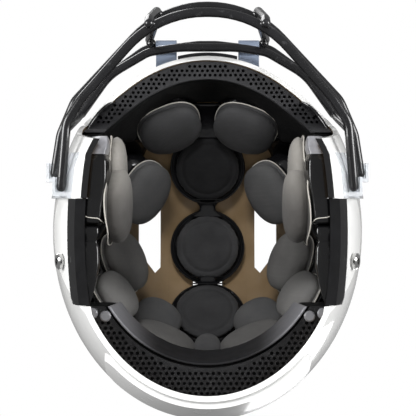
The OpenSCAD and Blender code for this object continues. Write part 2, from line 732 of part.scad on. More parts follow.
module top_clip_right() color([0.75, 0.79, 0.85, 0.7]) difference() {
  union() {
    translate([top_clip_x, hinge_y, hinge_z]) rotate([0, 90, 0])
      cylinder(h = top_clip_w, d = clip_ring_d, center = true);
    difference() {
      intersection() {
        form(-clip_plate);
        slab(-far, 0, hinge_z - 3, clip_plate_top, top_clip_x - top_clip_w / 2, top_clip_x + top_clip_w / 2);
      }
      form(-clip_gap / 2);
    }
    difference() {
      slab(hinge_y, hinge_y + 22, hinge_z, hinge_z + clip_ring_d / 2,
        top_clip_x - top_clip_w / 2, top_clip_x + top_clip_w / 2);
      form(-clip_gap / 2);
    }
  }
  translate([top_clip_x, hinge_y, hinge_z]) rotate([0, 90, 0])
    cylinder(h = far, d = wire_d + 2 * clip_gap, center = true);
  facing(top_screw, outward(top_screw)) cylinder(h = 40, d = screw_d, center = true);
}

module top_clip_left() mirror([1, 0, 0]) top_clip_right();

// Side clips: a screwed plate with two saddles that are open to the front and below,
// so the two wire ends leave them when the guard swings up
side_clip_front_y = side_screw_y - 8;
side_clip_rear_y = -11;
saddle_top = 4;

module saddle(p, front_y) {
  slab(front_y, p[1] + wire_d / 2 + 3, p[2] - wire_d / 2 - 1, p[2] + wire_d / 2 + saddle_top,
    p[0] - wire_d, p[0] + wire_d / 2 + clip_gap + clip_wall);
}

// The slot that a wire's end drops out of: its floor follows the shell, and its outer side is
// straight, because the end moves forward as it drops
module saddle_channel(route) {
  tip = route[len(route) - 1];
  w = wire_d / 2 + clip_gap;
  inner = w + 3.5;
  difference() {
    translate([tip[0], tip[1], -far]) linear_extrude(far + tip[2] + w)
      polygon([[-inner - far / 4, -far], [w, -far], [w, w], [-inner, w]]);
    tucked_form(clip_gap - wire_gap);
  }
}

module side_clip_right() color([0.85, 0.88, 0.9, 0.7]) difference() {
  union() {
    intersection() {
      tucked_form(-clip_plate);
      slab(side_clip_front_y, side_clip_rear_y, chin_z - 6, mouth_z + 5, 0, far);
    }
    saddle(chin_end, chin_end[1] - 14);
    saddle(mouth_end, mouth_end[1] - 8);
  }
  tucked_form(-clip_gap / 2);
  saddle_channel(chin_route);
  saddle_channel(mouth_route);
  facing(side_screw, outward(side_screw)) cylinder(h = 40, d = screw_d, center = true);
}

module side_clip_left() mirror([1, 0, 0]) side_clip_right();

// Screws with pan heads, and the nuts inside the shell that take them
nut_d = 13;
nut_t = 2;
nut_gap = 0.6;
nut_pocket = nut_t + nut_gap + 1;
screw_head_t = 2.6;
screw_slot_w = 1.4;

module clip_screw(p) {
  facing(p, outward(p)) difference() {
    union() {
      translate([0, 0, clip_plate]) cylinder(h = screw_head_t, d1 = screw_head_d, d2 = screw_head_d - 2.5);
      translate([0, 0, -shell_wall - nut_t]) cylinder(h = shell_wall + nut_t + clip_plate + eps, d = screw_d - 0.6);
    }
    translate([-screw_head_d, -screw_slot_w / 2, clip_plate + screw_head_t - 1.2])
      cube([2 * screw_head_d, screw_slot_w, 3]);
  }
}

module top_clip_screws() color("silver") both_sides() clip_screw(top_screw);
module side_clip_screws() color("silver") both_sides() clip_screw(side_screw);

module clip_nuts() color("dimgray") both_sides()
  for (p = [top_screw, side_screw])
    facing(p, outward(p)) translate([0, 0, -shell_wall - nut_t - nut_gap]) difference() {
      cylinder(h = nut_t, d = nut_d);
      translate([0, 0, -eps]) cylinder(h = nut_t + 2 * eps, d = screw_d - 0.6);
    }

// Chin strap studs: a socketed button riveted through the shell
stud_rim_z = 1.5;
stud_rim_h = 2;
stud_top_z = 4.6;
stud_foot_t = 1.1;

module strap_stud() rotate_extrude() polygon([[0, stud_rim_z], [stud_shank_d / 2, stud_rim_z],
  [stud_shank_d / 2, stud_top_z], [stud_d / 2 - 1, stud_top_z], [stud_d / 2, stud_rim_z + stud_rim_h],
  [stud_d / 2, stud_rim_z], [stud_d / 2 - 1, rivet_gap], [stud_shank_d / 2, rivet_gap],
  [stud_shank_d / 2, -shell_wall - rivet_gap], [stud_d / 3, -shell_wall - rivet_gap],
  [stud_d / 3, -shell_wall - rivet_gap - stud_foot_t], [0, -shell_wall - rivet_gap - stud_foot_t]]);

module strap_studs() color("lightgray") both_sides()
  for (p = [stud_low, stud_high]) facing(p, outward(p)) strap_stud();

shell();
front_bumper();
rear_bumper();
edge_trim_left();
edge_trim_right();
brow_pad();
brow_pad_facing();
neck_pad();
neck_pad_facing();
neck_band();
pad_snaps();
side_pad_left();
side_pad_right();
jaw_pad_left();
jaw_pad_right();
jaw_cushion_left();
jaw_cushion_right();
crown_pods();
crown_cushion_front();
crown_cushion_middle();
crown_cushion_rear();
front_pods();
front_cushion_left();
front_cushion_right();
temple_pods();
temple_cushion_left();
temple_cushion_right();
side_pods();
side_cushion_left();
side_cushion_right();
nape_pods();
nape_cushion_left();
nape_cushion_right();
rear_pods();
rear_upper_cushion_left();
rear_upper_cushion_right();
rear_cushion_left();
rear_cushion_right();
rear_cushion_middle();
brow_bar();
eye_bar();
mouth_bar();
chin_bar();
upright_left();
upright_right();
top_clip_left();
top_clip_right();
side_clip_left();
side_clip_right();
top_clip_screws();
side_clip_screws();
clip_nuts();
strap_studs();
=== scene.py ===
"""Football helmet seen from below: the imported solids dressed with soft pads, wires and finishes.

Lengths of the dressed pieces are written in millimetres and turned to metres when a mesh is made.
A side is 1 for the right half of the picture and -1 for the left one. Pieces are shaped on the
right, and the left ones mirror them.
"""

from __future__ import annotations

import json
import logging
import math
from collections.abc import Iterable
from dataclasses import dataclass
from enum import Enum
from functools import cache

import bmesh
import bpy
from mathutils import Matrix, Vector

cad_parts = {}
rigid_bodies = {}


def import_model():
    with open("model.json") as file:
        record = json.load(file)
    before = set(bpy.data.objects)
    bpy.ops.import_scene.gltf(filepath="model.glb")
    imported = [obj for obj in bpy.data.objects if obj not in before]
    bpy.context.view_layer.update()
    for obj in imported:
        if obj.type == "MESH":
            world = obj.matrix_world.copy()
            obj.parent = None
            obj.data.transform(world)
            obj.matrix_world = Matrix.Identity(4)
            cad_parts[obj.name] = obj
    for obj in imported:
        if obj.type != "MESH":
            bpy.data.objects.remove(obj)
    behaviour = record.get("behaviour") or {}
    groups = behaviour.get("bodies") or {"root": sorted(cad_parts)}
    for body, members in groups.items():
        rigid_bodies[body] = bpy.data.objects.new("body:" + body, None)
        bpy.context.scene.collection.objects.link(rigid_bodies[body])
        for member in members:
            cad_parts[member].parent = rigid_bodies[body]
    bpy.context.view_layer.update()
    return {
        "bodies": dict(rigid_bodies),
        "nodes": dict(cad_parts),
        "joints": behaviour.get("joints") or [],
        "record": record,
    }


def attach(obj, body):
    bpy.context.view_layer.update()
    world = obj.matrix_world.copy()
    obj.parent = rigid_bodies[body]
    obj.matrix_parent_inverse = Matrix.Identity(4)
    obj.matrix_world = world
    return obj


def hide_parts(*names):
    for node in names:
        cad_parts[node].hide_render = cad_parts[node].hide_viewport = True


LOG = logging.getLogger("helmet")
MM = 0.001
SEAT = 0.3  # clearance of a piece that is seated on another
SIDES = ((-1, "left"), (1, "right"))
WHITE = (1.0, 1.0, 1.0, 1.0)
FIRST, SECOND, MIXED = 6, 7, 2  # a Mix node's two colours and the colour that it gives

Point = tuple[float, float, float]
Piece = bpy.types.Object
Socket = bpy.types.NodeSocket


def linear(code: str) -> tuple[float, float, float, float]:
    """Turns an sRGB hex colour, such as "#f2f2ef", into linear red, green, blue and alpha."""
    parts = [int(code[i : i + 2], 16) / 255 for i in (1, 3, 5)]
    return (*(c / 12.92 if c <= 0.04045 else ((c + 0.055) / 1.055) ** 2.4 for c in parts), 1.0)


def per_mm(size: float) -> float:
    """Texture scale at which one feature is about this many millimetres."""
    return 1000.0 / size


@dataclass(frozen=True)
class Canvas:
    """The node tree of a material or of the world."""

    tree: bpy.types.NodeTree

    @classmethod
    def on(cls, owner: bpy.types.Material | bpy.types.World) -> Canvas:
        """Empties the node tree of a material or world.

        Args:
            owner: The material or world.

        Returns:
            Its canvas.
        """
        owner.use_nodes = True
        owner.node_tree.nodes.clear()
        return cls(owner.node_tree)

    def add(self, kind: str, inputs: dict | None = None, out: str | int = 0, **settings) -> Socket | None:
        """Adds one shader node, with its settings, its values and its links.

        Args:
            kind: The node's type without the word ShaderNode.
            inputs: A value, a hex colour or an output for each input, by its name or number.
            out: Name or number of the output that is given back.
            **settings: Properties of the node.

        Returns:
            That output, or None from a node without any.
        """
        made = self.tree.nodes.new("ShaderNode" + kind)
        for name, value in settings.items():
            setattr(made, name, value)
        for name, value in (inputs or {}).items():
            if isinstance(value, Socket):
                self.tree.links.new(value, made.inputs[name])
            else:
                made.inputs[name].default_value = linear(value) if isinstance(value, str) else value
        return made.outputs[out] if len(made.outputs) else None

    def drift(
        self, size: float, detail: float, low: float = 0.0, high: float = 1.0, span: tuple[float, float] = (0.3, 0.7)
    ) -> Socket:
        """A value that drifts over the surface in soft spots.

        Args:
            size: Size of a spot in millimetres.
            detail: Number of finer layers.
            low: The lowest value.
            high: The highest value.
            span: Levels of the noise that give these two.

        Returns:
            The value.
        """
        place = self.add("TexCoord", out="Object")
        noise = self.add("TexNoise", {"Vector": place, "Scale": per_mm(size), "Detail": detail})
        ends = {"From Min": span[0], "From Max": span[1], "To Min": low, "To Max": high}
        return self.add("MapRange", {"Value": noise, **ends})

    def bent(self, size: float, push: float) -> Socket:
        """Object coordinates that are pushed about in soft spots.

        Args:
            size: Size of a spot in millimetres.
            push: How far a point goes at most, in millimetres.

        Returns:
            The coordinates.
        """
        place = self.add("TexCoord", out="Object")
        noise = self.add("TexNoise", {"Vector": place, "Scale": per_mm(size)}, "Color")
        return self.add("VectorMath", {0: noise, 1: (push * MM,) * 3, 2: place}, operation="MULTIPLY_ADD")

    def along(self, axis: str, start: float, stop: float) -> Socket:
        """A soft step from 0 to 1, along the helmet or out to both sides.

        Args:
            axis: Y for along the helmet, or X for out to both sides.
            start: Where it begins, in millimetres.
            stop: Where it ends.

        Returns:
            The share.
        """
        where = self.add("SeparateXYZ", {0: self.add("TexCoord", out="Object")}, axis)
        if axis == "X":
            where = self.add("Math", {0: where}, operation="ABSOLUTE")
        ends = {"From Min": start * MM, "From Max": stop * MM}
        return self.add("MapRange", {"Value": where, **ends}, interpolation_type="SMOOTHSTEP")


@dataclass(frozen=True)
class Finish:
    """A surface: what it is made of, its two tones, and the numbers of its shader.

    The plain finish has a slow drift of tone and of gloss, which any moulded or coated
    surface shows under a soft light, and a fine relief, whose depth is in millimetres.
    """

    title: str
    slot: str
    colour: str
    second: str
    rough: float
    metallic: float = 0.0
    ior: float = 1.5
    coat: float = 0.0
    coat_rough: float = 0.05
    sheen: float = 0.0
    transmission: float = 0.0
    drift_mm: float = 24.0
    relief_mm: float = 1.2
    relief: float = 0.02

    def material(self) -> bpy.types.Material:
        """Builds the material.

        Returns:
            The material, ready to be put on a mesh.
        """
        made = bpy.data.materials.new(self.title)
        paint = Canvas.on(made)
        bump = {"Strength": 1.0, "Distance": self.relief * MM, "Height": self.height(paint)}
        inputs = {
            "Base Color": self.tone(paint),
            "Roughness": self.gloss(paint),
            "Normal": paint.add("Bump", bump),
            "Metallic": self.metallic,
            "Coat Weight": self.coat,
            "Coat Roughness": self.coat_rough,
            "Sheen Weight": self.sheen,
            "Transmission Weight": self.transmission,
        }
        if not self.metallic:
            inputs["IOR"] = self.ior
        paint.add("OutputMaterial", {"Surface": paint.add("BsdfPrincipled", inputs)})
        made.diffuse_color = linear(self.colour)
        return made

    def tone(self, paint: Canvas) -> Socket:
        """Colour of the surface, drifting between its two tones."""
        tones = {"Factor": paint.drift(self.drift_mm, 3.0), FIRST: self.colour, SECOND: self.second}
        return paint.add("Mix", tones, MIXED, data_type="RGBA")

    def gloss(self, paint: Canvas) -> Socket:
        """Roughness of the surface, with faint handling marks."""
        return paint.drift(self.drift_mm * 0.6, 5.0, self.rough * 0.85, self.rough * 1.2)

    def height(self, paint: Canvas) -> Socket:
        """Height of the fine relief, from 0 to 1."""
        place = paint.add("TexCoord", out="Object")
        return paint.add("TexNoise", {"Vector": place, "Scale": per_mm(self.relief_mm), "Detail": 2.0})


@dataclass(frozen=True)
class PaintedShell(Finish):
    """Moulded polycarbonate with a clear gloss outside and bare tan-brown plastic inside.

    The inner wall is told by its normal, which looks back at the middle of the shell.
    """

    inner: str = "#8b765b"
    inner_second: str = "#725e43"
    inner_rough: float = 0.42
    inner_drift_mm: float = 38.0
    edge: str = "#151516"
    edge_rear_y: float = 66.0
    edge_top: float = 0.4
    middle: Point = (0.0, 14.5, 115.0)
    half: Point = (121.0, 147.0, 165.0)

    def inside(self, paint: Canvas) -> Socket:
        """Share of the inner wall's look.

        Args:
            paint: The canvas.

        Returns:
            1 on the inner wall, 0 on the outside and on the rim.
        """
        centre = [c * MM for c in self.middle]
        shares = [(self.half[0] / c) ** 2 for c in self.half]
        place = paint.add("TexCoord", out="Object")
        away = paint.add("VectorMath", {0: place, 1: centre}, operation="SUBTRACT")
        away = paint.add("VectorMath", {0: away, 1: shares}, operation="MULTIPLY")
        away = paint.add("VectorMath", {0: away}, operation="NORMALIZE")
        looks = {0: away, 1: paint.add("TexCoord", out="Normal")}
        dot = paint.add("VectorMath", looks, "Value", operation="DOT_PRODUCT")
        ends = {"From Min": -0.75, "From Max": -0.55, "To Min": 1.0, "To Max": 0.0}
        return paint.add("MapRange", {"Value": dot, **ends})

    def tone(self, paint: Canvas) -> Socket:
        """White outside, tan-brown inside, and the dark sealed edge of the flaps.

        Args:
            paint: The canvas.

        Returns:
            The colour.
        """
        tan = {"Factor": paint.drift(self.inner_drift_mm, 4.0), FIRST: self.inner, SECOND: self.inner_second}
        inner = paint.add("Mix", tan, MIXED, data_type="RGBA")
        walls = {"Factor": self.inside(paint), FIRST: super().tone(paint), SECOND: inner}
        skin = paint.add("Mix", walls, MIXED, data_type="RGBA")
        edged = {"Factor": self.flap_edge(paint), FIRST: skin, SECOND: self.edge}
        return paint.add("Mix", edged, MIXED, data_type="RGBA")

    def flap_edge(self, paint: Canvas) -> Socket:
        """Share of the jaw flaps' sealed lower edge, which lies flat at level 0 before the arch.

        Args:
            paint: The canvas.

        Returns:
            1 on the edge and 0 elsewhere.
        """
        below = []
        for axis, limit in (("Z", self.edge_top), ("Y", self.edge_rear_y)):
            where = paint.add("SeparateXYZ", {0: paint.add("TexCoord", out="Object")}, axis)
            below.append(paint.add("Math", {0: where, 1: limit * MM}, operation="LESS_THAN"))
        return paint.add("Math", {0: below[0], 1: below[1]}, operation="MULTIPLY")

    def gloss(self, paint: Canvas) -> Socket:
        """Glossy outside, satin inside."""
        levels = {"Factor": self.inside(paint), 2: super().gloss(paint), 3: self.inner_rough}
        return paint.add("Mix", levels, data_type="FLOAT")


@dataclass(frozen=True)
class GrainedVinyl(Finish):
    """Calendered vinyl with a pressed leather grain: small cells with soft valleys between them."""

    valley: float = 0.14

    def height(self, paint: Canvas) -> Socket:
        """Height of the grain.

        Args:
            paint: The canvas.

        Returns:
            The height, from 0 to 1.
        """
        cells = {"Vector": paint.bent(3.0, 1.2), "Scale": per_mm(self.relief_mm)}
        edge = paint.add("TexVoronoi", cells, "Distance", feature="DISTANCE_TO_EDGE")
        return paint.add("MapRange", {"Value": edge, "From Max": self.valley}, interpolation_type="SMOOTHSTEP")


@dataclass(frozen=True)
class BrushedKnit(Finish):
    """Warp-knitted polyester with a brushed face: fine wales and courses under a short nap.

    A real wale is 0.6 mm, which is under a pixel here, so it is drawn at relief_mm.
    """

    rough: float = 0.75
    sheen: float = 0.04
    relief_mm: float = 1.5
    relief: float = 0.06

    def wales(self, paint: Canvas) -> Socket:
        """Knit of crossing ribs, bent a little as on a stretched cushion.

        Args:
            paint: The canvas.

        Returns:
            The ribs' height, from 0 to 1.
        """
        ribs = []
        for way, scale in (("DIAGONAL", 1.0), ("Y", 0.8)):
            wide = per_mm(self.relief_mm) / math.tau * scale
            wave = {"Vector": paint.bent(16.0, 2.0), "Scale": wide, "Distortion": 0.6, "Detail": 1.0}
            ribs.append(paint.add("TexWave", wave, "Fac", bands_direction=way, wave_profile="SIN"))
        return paint.add("Math", {0: ribs[0], 1: ribs[1]}, operation="MULTIPLY")

    def height(self, paint: Canvas) -> Socket:
        """Height of the knit under its nap.

        Args:
            paint: The canvas.

        Returns:
            The height.
        """
        place = paint.add("TexCoord", out="Object")
        nap = paint.add("TexNoise", {"Vector": place, "Scale": per_mm(0.9), "Detail": 4.0})
        return paint.add("Math", {0: self.wales(paint), 1: nap}, operation="ADD")

    def tone(self, paint: Canvas) -> Socket:
        """Two tones that drift, with painted shade darkening the gaps between the wales.

        Args:
            paint: The canvas.

        Returns:
            The colour.
        """
        # The darker tone in the gaps between the wales is painted shade
        gap = paint.add("MapRange", {"Value": self.wales(paint), "To Min": 0.22, "To Max": 0.0})
        face = {"Factor": gap, FIRST: super().tone(paint), SECOND: self.second}
        return paint.add("Mix", face, MIXED, data_type="RGBA")


@dataclass(frozen=True)
class GradedKnit(BrushedKnit):
    """Knit darkened by painted shade towards the rear of the helmet."""

    far: str = "#403e3c"
    from_y: float = -46.0
    to_y: float = 4.0

    def tone(self, paint: Canvas) -> Socket:
        """The knit's tone, with painted shade that deepens slowly along the helmet towards its rear."""
        nap = {"Factor": paint.along("Y", self.from_y, self.to_y), FIRST: super().tone(paint), SECOND: self.far}
        return paint.add("Mix", nap, MIXED, data_type="RGBA")


@dataclass(frozen=True)
class PowderCoat(Finish):
    """Steel wire dipped in black powder coat: an even satin skin with a slight orange peel.

    A few rubbed spots are a little greyer.
    """

    rubbed: str = "#4c4c4e"

    def tone(self, paint: Canvas) -> Socket:
        """Black with faint rubbed spots."""
        worn = {"Factor": paint.drift(7.0, 6.0, 0.0, 0.7, (0.62, 0.8)), FIRST: super().tone(paint), SECOND: self.rubbed}
        return paint.add("Mix", worn, MIXED, data_type="RGBA")


@dataclass(frozen=True)
class BrushedMetal(Finish):
    """Turned or plated metal with fine tool lines, which soften its highlights."""

    metallic: float = 1.0
    relief_mm: float = 0.6
    relief: float = 0.01

    def gloss(self, paint: Canvas) -> Socket:
        """Roughness with fine tool lines."""
        return paint.drift(0.7, 6.0, self.rough * 0.7, self.rough * 1.4)


@dataclass(frozen=True)
class SilveredVinyl(Finish):
    """Smooth dark vinyl with a painted reflection that makes it silvery towards both sides of the helmet."""

    silver: str = "#78787c"
    from_x: float = 34.0
    to_x: float = 74.0

    def tone(self, paint: Canvas) -> Socket:
        """Dark vinyl with a painted reflection that lightens its sides."""
        shine = {"Factor": paint.along("X", self.from_x, self.to_x), FIRST: super().tone(paint), SECOND: self.silver}
        return paint.add("Mix", shine, MIXED, data_type="RGBA")


class Look(Enum):
    """Every finish of the helmet, named for the real material."""

    # Glossy white polycarbonate, cool and clean outside, with the moulding's tan face inside
    SHELL = PaintedShell(
        "painted_polycarbonate_shell", "white_shell", "#f1f1ef", "#ebebea", 0.14, coat=0.5, relief=0.01
    )
    # White moulded bumper, a little softer in gloss than the shell
    REAR_BUMPER = Finish("white_moulded_bumper", "white_bumper", "#e9e9e8", "#dfdfde", 0.24, coat=0.3, relief=0.015)
    # Black moulded bumper with a fine spark-eroded texture that kills its gloss
    FRONT_BUMPER = Finish(
        "black_textured_bumper", "black_bumper", "#1d1d1f", "#242427", 0.46, relief_mm=0.8, relief=0.06
    )
    # Extruded rubber channel, satin black with a faint bloom
    TRIM = Finish(
        "extruded_rubber_trim", "trim_rubber", "#070708", "#0e0e10", 0.36, drift_mm=9.0, relief_mm=0.9, relief=0.05
    )
    # Skinned foam: dense and matte, with fine pores
    FOAM = GrainedVinyl(
        "skinned_black_foam", "pad_foam", "#050506", "#090909", 0.6, ior=1.3, relief_mm=1.6, relief=0.05
    )
    # Perforated facings in soft plastic with a pressed grain, charcoal in front and black behind
    BROW_FACING = GrainedVinyl(
        "perforated_charcoal_facing", "perforated_facing", "#2c2c2e", "#242426", 0.6, relief_mm=1.1, relief=0.09
    )
    NECK_FACING = GrainedVinyl(
        "perforated_black_facing", "perforated_facing", "#101012", "#0b0b0d", 0.45, relief_mm=1.1, relief=0.09
    )
    # Smooth dark vinyl skin, with a painted reflection of a broad light that makes its sides silvery
    BAND = SilveredVinyl(
        "smooth_vinyl_band", "band_vinyl", "#141416", "#1c1c1e", 0.34, coat=0.4, relief_mm=2.6, relief=0.06
    )
    # Injection moulded snap boss, its black plastic drawn mid-grey: a painted highlight on its gloss
    SNAP = Finish("moulded_snap_boss", "snap_plastic", "#5d5d60", "#737376", 0.2, coat=0.3, relief=0.01)
    # Thermoplastic pod body, black and wet-looking
    POD = Finish(
        "glossy_moulded_pod", "pad_vinyl", "#0a0a0b", "#111113", 0.16, coat=0.6, relief_mm=5.0, relief=0.16
    )
    # Black vinyl of the jaw and side pads, glossy on its folds
    JAW_VINYL = Finish(
        "soft_black_vinyl", "pad_vinyl", "#070708", "#0c0c0d", 0.24, coat=0.5, relief_mm=14.0, relief=0.5
    )
    # Satin front panel of the jaw pads, its black vinyl drawn pale grey: a painted highlight of a broad light
    JAW_PANEL = Finish(
        "satin_vinyl_panel", "pad_vinyl", "#8e8e92", "#6c6c70", 0.36,
        coat=0.4, drift_mm=9.0, relief_mm=9.0, relief=0.5,
    )
    # Knits of the cushions: matte, with a soft bright edge from their nap. All are one charcoal knit: the lighter,
    # slightly warmer copy carries painted light and the two darker copies carry painted shade, as the light falls on
    # each pod
    KNIT = BrushedKnit("charcoal_brushed_knit", "cushion_fabric", "#575757", "#4a4a4b")
    KNIT_WARM = BrushedKnit("warm_grey_brushed_knit", "cushion_fabric", "#6b6a68", "#5c5b5a")
    KNIT_DARK = BrushedKnit("dark_brushed_knit", "cushion_fabric", "#414142", "#343435")
    KNIT_BLACK = BrushedKnit("black_brushed_knit", "cushion_fabric", "#272728", "#1e1e1f")
    # Taupe knit of the jaw cushions, with painted shade towards the rear
    KNIT_TAUPE = GradedKnit("taupe_brushed_knit", "jaw_fabric", "#8b8883", "#7b7873", 0.78, sheen=0.05)
    # Folded vinyl edge binding, a light line round each cushion
    PIPING = Finish("light_vinyl_binding", "cushion_fabric", "#c4c0b8", "#a9a59d", 0.4, relief_mm=0.8, relief=0.03)
    # Powder-coated wire
    WIRE = PowderCoat(
        "powder_coated_wire", "guard_wire", "#141415", "#1b1b1d", 0.24, coat=0.3, relief_mm=2.6, relief=0.008
    )
    # Clear moulded clips, the top ones with a cool tint
    CLIP = Finish(
        "tinted_moulded_clip", "clear_clip", "#909bad", "#838fa3", 0.12,
        transmission=0.3, relief_mm=6.0, relief=0.04,
    )
    CLIP_CLEAR = Finish(
        "clear_moulded_clip", "clear_clip", "#eef0f3", "#e4e8ec", 0.1,
        ior=1.45, transmission=0.5, relief_mm=6.0, relief=0.04,
    )
    # Zinc-plated screws and nuts
    SCREW = BrushedMetal("zinc_plated_screw", "screw_steel", "#b9b9b6", "#a2a29f", 0.3)
    NUT = BrushedMetal("zinc_plated_nut", "nut_steel", "#9c9c99", "#868684", 0.36)
    # Nickel-chrome plated studs, almost a mirror
    STUD = BrushedMetal("chrome_plated_stud", "stud_chrome", "#d9d9d8", "#cfcfce", 0.12, relief=0.004)


@cache
def material_of(look: Look) -> bpy.types.Material:
    """The material of a look, made on its first use."""
    return look.value.material()


def placed(name: str, data: bpy.types.ID) -> Piece:
    """Links a new object for a mesh, curve, lamp or camera.

    Args:
        name: The object's name.
        data: What it shows.

    Returns:
        The object, at the origin.
    """
    made = bpy.data.objects.new(name, data)
    bpy.context.scene.collection.objects.link(made)
    return made


def to_object(bm: bmesh.types.BMesh, name: str, unit: float = MM) -> Piece:
    """Turns a bmesh into a smooth object in metres.

    Args:
        bm: The bmesh, which is freed.
        name: The piece's name.
        unit: Length of the bmesh's unit in metres.

    Returns:
        The object, at the origin.
    """
    bmesh.ops.scale(bm, vec=(unit,) * 3, verts=bm.verts)
    mesh = bpy.data.meshes.new(name)
    bm.to_mesh(mesh)
    bm.free()
    smooth(mesh)
    return placed(name, mesh)


def smooth(mesh: bpy.types.Mesh) -> None:
    """Shades every face of a mesh smooth."""
    mesh.polygons.foreach_set("use_smooth", [True] * len(mesh.polygons))


def discard(obj: Piece) -> None:
    """Removes an object and its mesh.

    Args:
        obj: The object.
    """
    mesh = obj.data
    bpy.data.objects.remove(obj)
    bpy.data.meshes.remove(mesh)


def final_mesh(obj: Piece) -> bpy.types.Mesh:
    """The mesh that an object's curve or modifiers give.

    Args:
        obj: The object.

    Returns:
        A new mesh.
    """
    graph = bpy.context.evaluated_depsgraph_get()
    graph.update()
    return bpy.data.meshes.new_from_object(obj.evaluated_get(graph), depsgraph=graph)


def evaluated(obj: Piece) -> None:
    """Applies every modifier of an object to its mesh.

    Args:
        obj: The object, whose mesh is replaced.
    """
    mesh = final_mesh(obj)
    obj.modifiers.clear()
    old, obj.data = obj.data, mesh
    mesh.name = obj.name
    if old.users == 0:
        bpy.data.meshes.remove(old)


def settle(piece: Piece, body: str, *looks: Look, nodes: tuple[str, ...] = ()) -> None:
    """Dresses a finished piece and puts it on its body.

    Args:
        piece: The piece, at the origin.
        body: The body that carries it.
        *looks: Its finishes, one for each material slot of its faces.
        nodes: The nodes that it stands for.
    """
    for look in looks:
        piece.data.materials.append(material_of(look))
    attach(piece, body)
    if nodes:
        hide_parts(*nodes)
    LOG.info("piece %s on %s: %d faces", piece.name, body, len(piece.data.polygons))


def swell(obj: Piece, hold: list[float], pressure: float, cap: float, frames: int = 16) -> None:
    """Puffs a closed mesh like a filled cushion, with a short cloth simulation.

    Args:
        obj: The piece, whose mesh is changed in place.
        hold: For each vertex, 1 where a seam or a seat holds it and 0 where it is free.
        pressure: Pressure of the filling.
        cap: The furthest that a vertex may move, in millimetres.
        frames: Number of steps.
    """
    start = [v.co.copy() for v in obj.data.vertices]
    group = obj.vertex_groups.new(name="held")
    for index, weight in enumerate(hold):
        if weight > 0.01:
            group.add([index], weight, "REPLACE")
    cloth = obj.modifiers.new("fill", "CLOTH")
    fabric = cloth.settings
    fabric.quality = 5
    fabric.mass = 0.2
    fabric.tension_stiffness = fabric.compression_stiffness = 12.0
    fabric.shear_stiffness = 6.0
    fabric.bending_stiffness = 0.4
    fabric.use_pressure = True
    fabric.uniform_pressure_force = pressure
    fabric.effector_weights.gravity = 0.0
    fabric.vertex_group_mass = "held"
    cloth.point_cache.frame_start, cloth.point_cache.frame_end = 1, frames
    scene = bpy.context.scene
    for frame in range(1, frames + 1):
        scene.frame_set(frame)
    evaluated(obj)
    scene.frame_set(1)
    obj.vertex_groups.clear()
    for vertex, was in zip(obj.data.vertices, start, strict=True):
        step = vertex.co - was
        if step.length > cap * MM:
            vertex.co = was + step.normalized() * cap * MM


def remesh(obj: Piece, size: float) -> None:
    """Gives a closed mesh an even net of quads.

    Args:
        obj: The object.
        size: Width of a quad in millimetres.
    """
    made = obj.modifiers.new("net", "REMESH")
    made.mode = "VOXEL"
    made.voxel_size = size * MM
    made.adaptivity = 0.0
    evaluated(obj)


def relax(obj: Piece, rounds: int, factor: float = 0.5) -> None:
    """Smooths a mesh.

    Args:
        obj: The object.
        rounds: How many times.
        factor: How far each vertex goes towards its neighbours.
    """
    bm = bmesh.new()
    bm.from_mesh(obj.data)
    for _ in range(rounds):
        bmesh.ops.smooth_vert(bm, verts=bm.verts, factor=factor, use_axis_x=True, use_axis_y=True, use_axis_z=True)
    bm.to_mesh(obj.data)
    bm.free()


def subdivide(obj: Piece) -> None:
    """Gives a mesh one level of subdivision surface.

    Args:
        obj: The object.
    """
    made = obj.modifiers.new("finer", "SUBSURF")
    made.levels = made.render_levels = 1
    evaluated(obj)
    smooth(obj.data)


def facing(centre: Vector, way: Vector) -> Matrix:
    """A frame with its Z axis along a direction and its X axis level.

    Args:
        centre: Origin of the frame.
        way: The direction.

    Returns:
        The frame's matrix.
    """
    way = way.normalized()
    upright = math.hypot(way.x, way.y) < 0.01
    flat = Vector((1.0, 0.0, 0.0)) if upright else Vector((-way.y, way.x, 0.0)).normalized()
    rows = zip(flat, way.cross(flat), way, centre, strict=True)
    return Matrix((*rows, (0, 0, 0, 1)))


def on_side(points: Iterable[Vector], side: int) -> list[Vector]:
    """Points of the right side, or their mirror images on the left one."""
    return [Vector((side * p.x, p.y, p.z)) for p in points]


def loft(rings: list[list[Vector]]) -> bmesh.types.BMesh:
    """A closed skin through rings that have as many points each, with both ends capped.

    Args:
        rings: The rings, in millimetres.

    Returns:
        The skin.
    """
    bm = bmesh.new()
    ring = list(bmesh.ops.create_circle(bm, cap_ends=True, segments=len(rings[0]), radius=1.0)["verts"])
    for number, points in enumerate(rings):
        if number:
            edges = list({e for v in ring for e in v.link_edges if e.other_vert(v) in ring})
            made = bmesh.ops.extrude_edge_only(bm, edges=edges)["geom"]
            fresh = {g for g in made if isinstance(g, bmesh.types.BMVert)}
            ring = [next(e.other_vert(v) for e in v.link_edges if e.other_vert(v) in fresh) for v in ring]
        for vertex, point in zip(ring, points, strict=True):
            vertex.co = point
    bmesh.ops.contextual_create(bm, geom=ring)
    bmesh.ops.recalc_face_normals(bm, faces=bm.faces)
    return bm


def signed_power(value: float, power: float) -> float:
    """Power of a number's size, with its sign kept."""
    return math.copysign(abs(value) ** power, value)


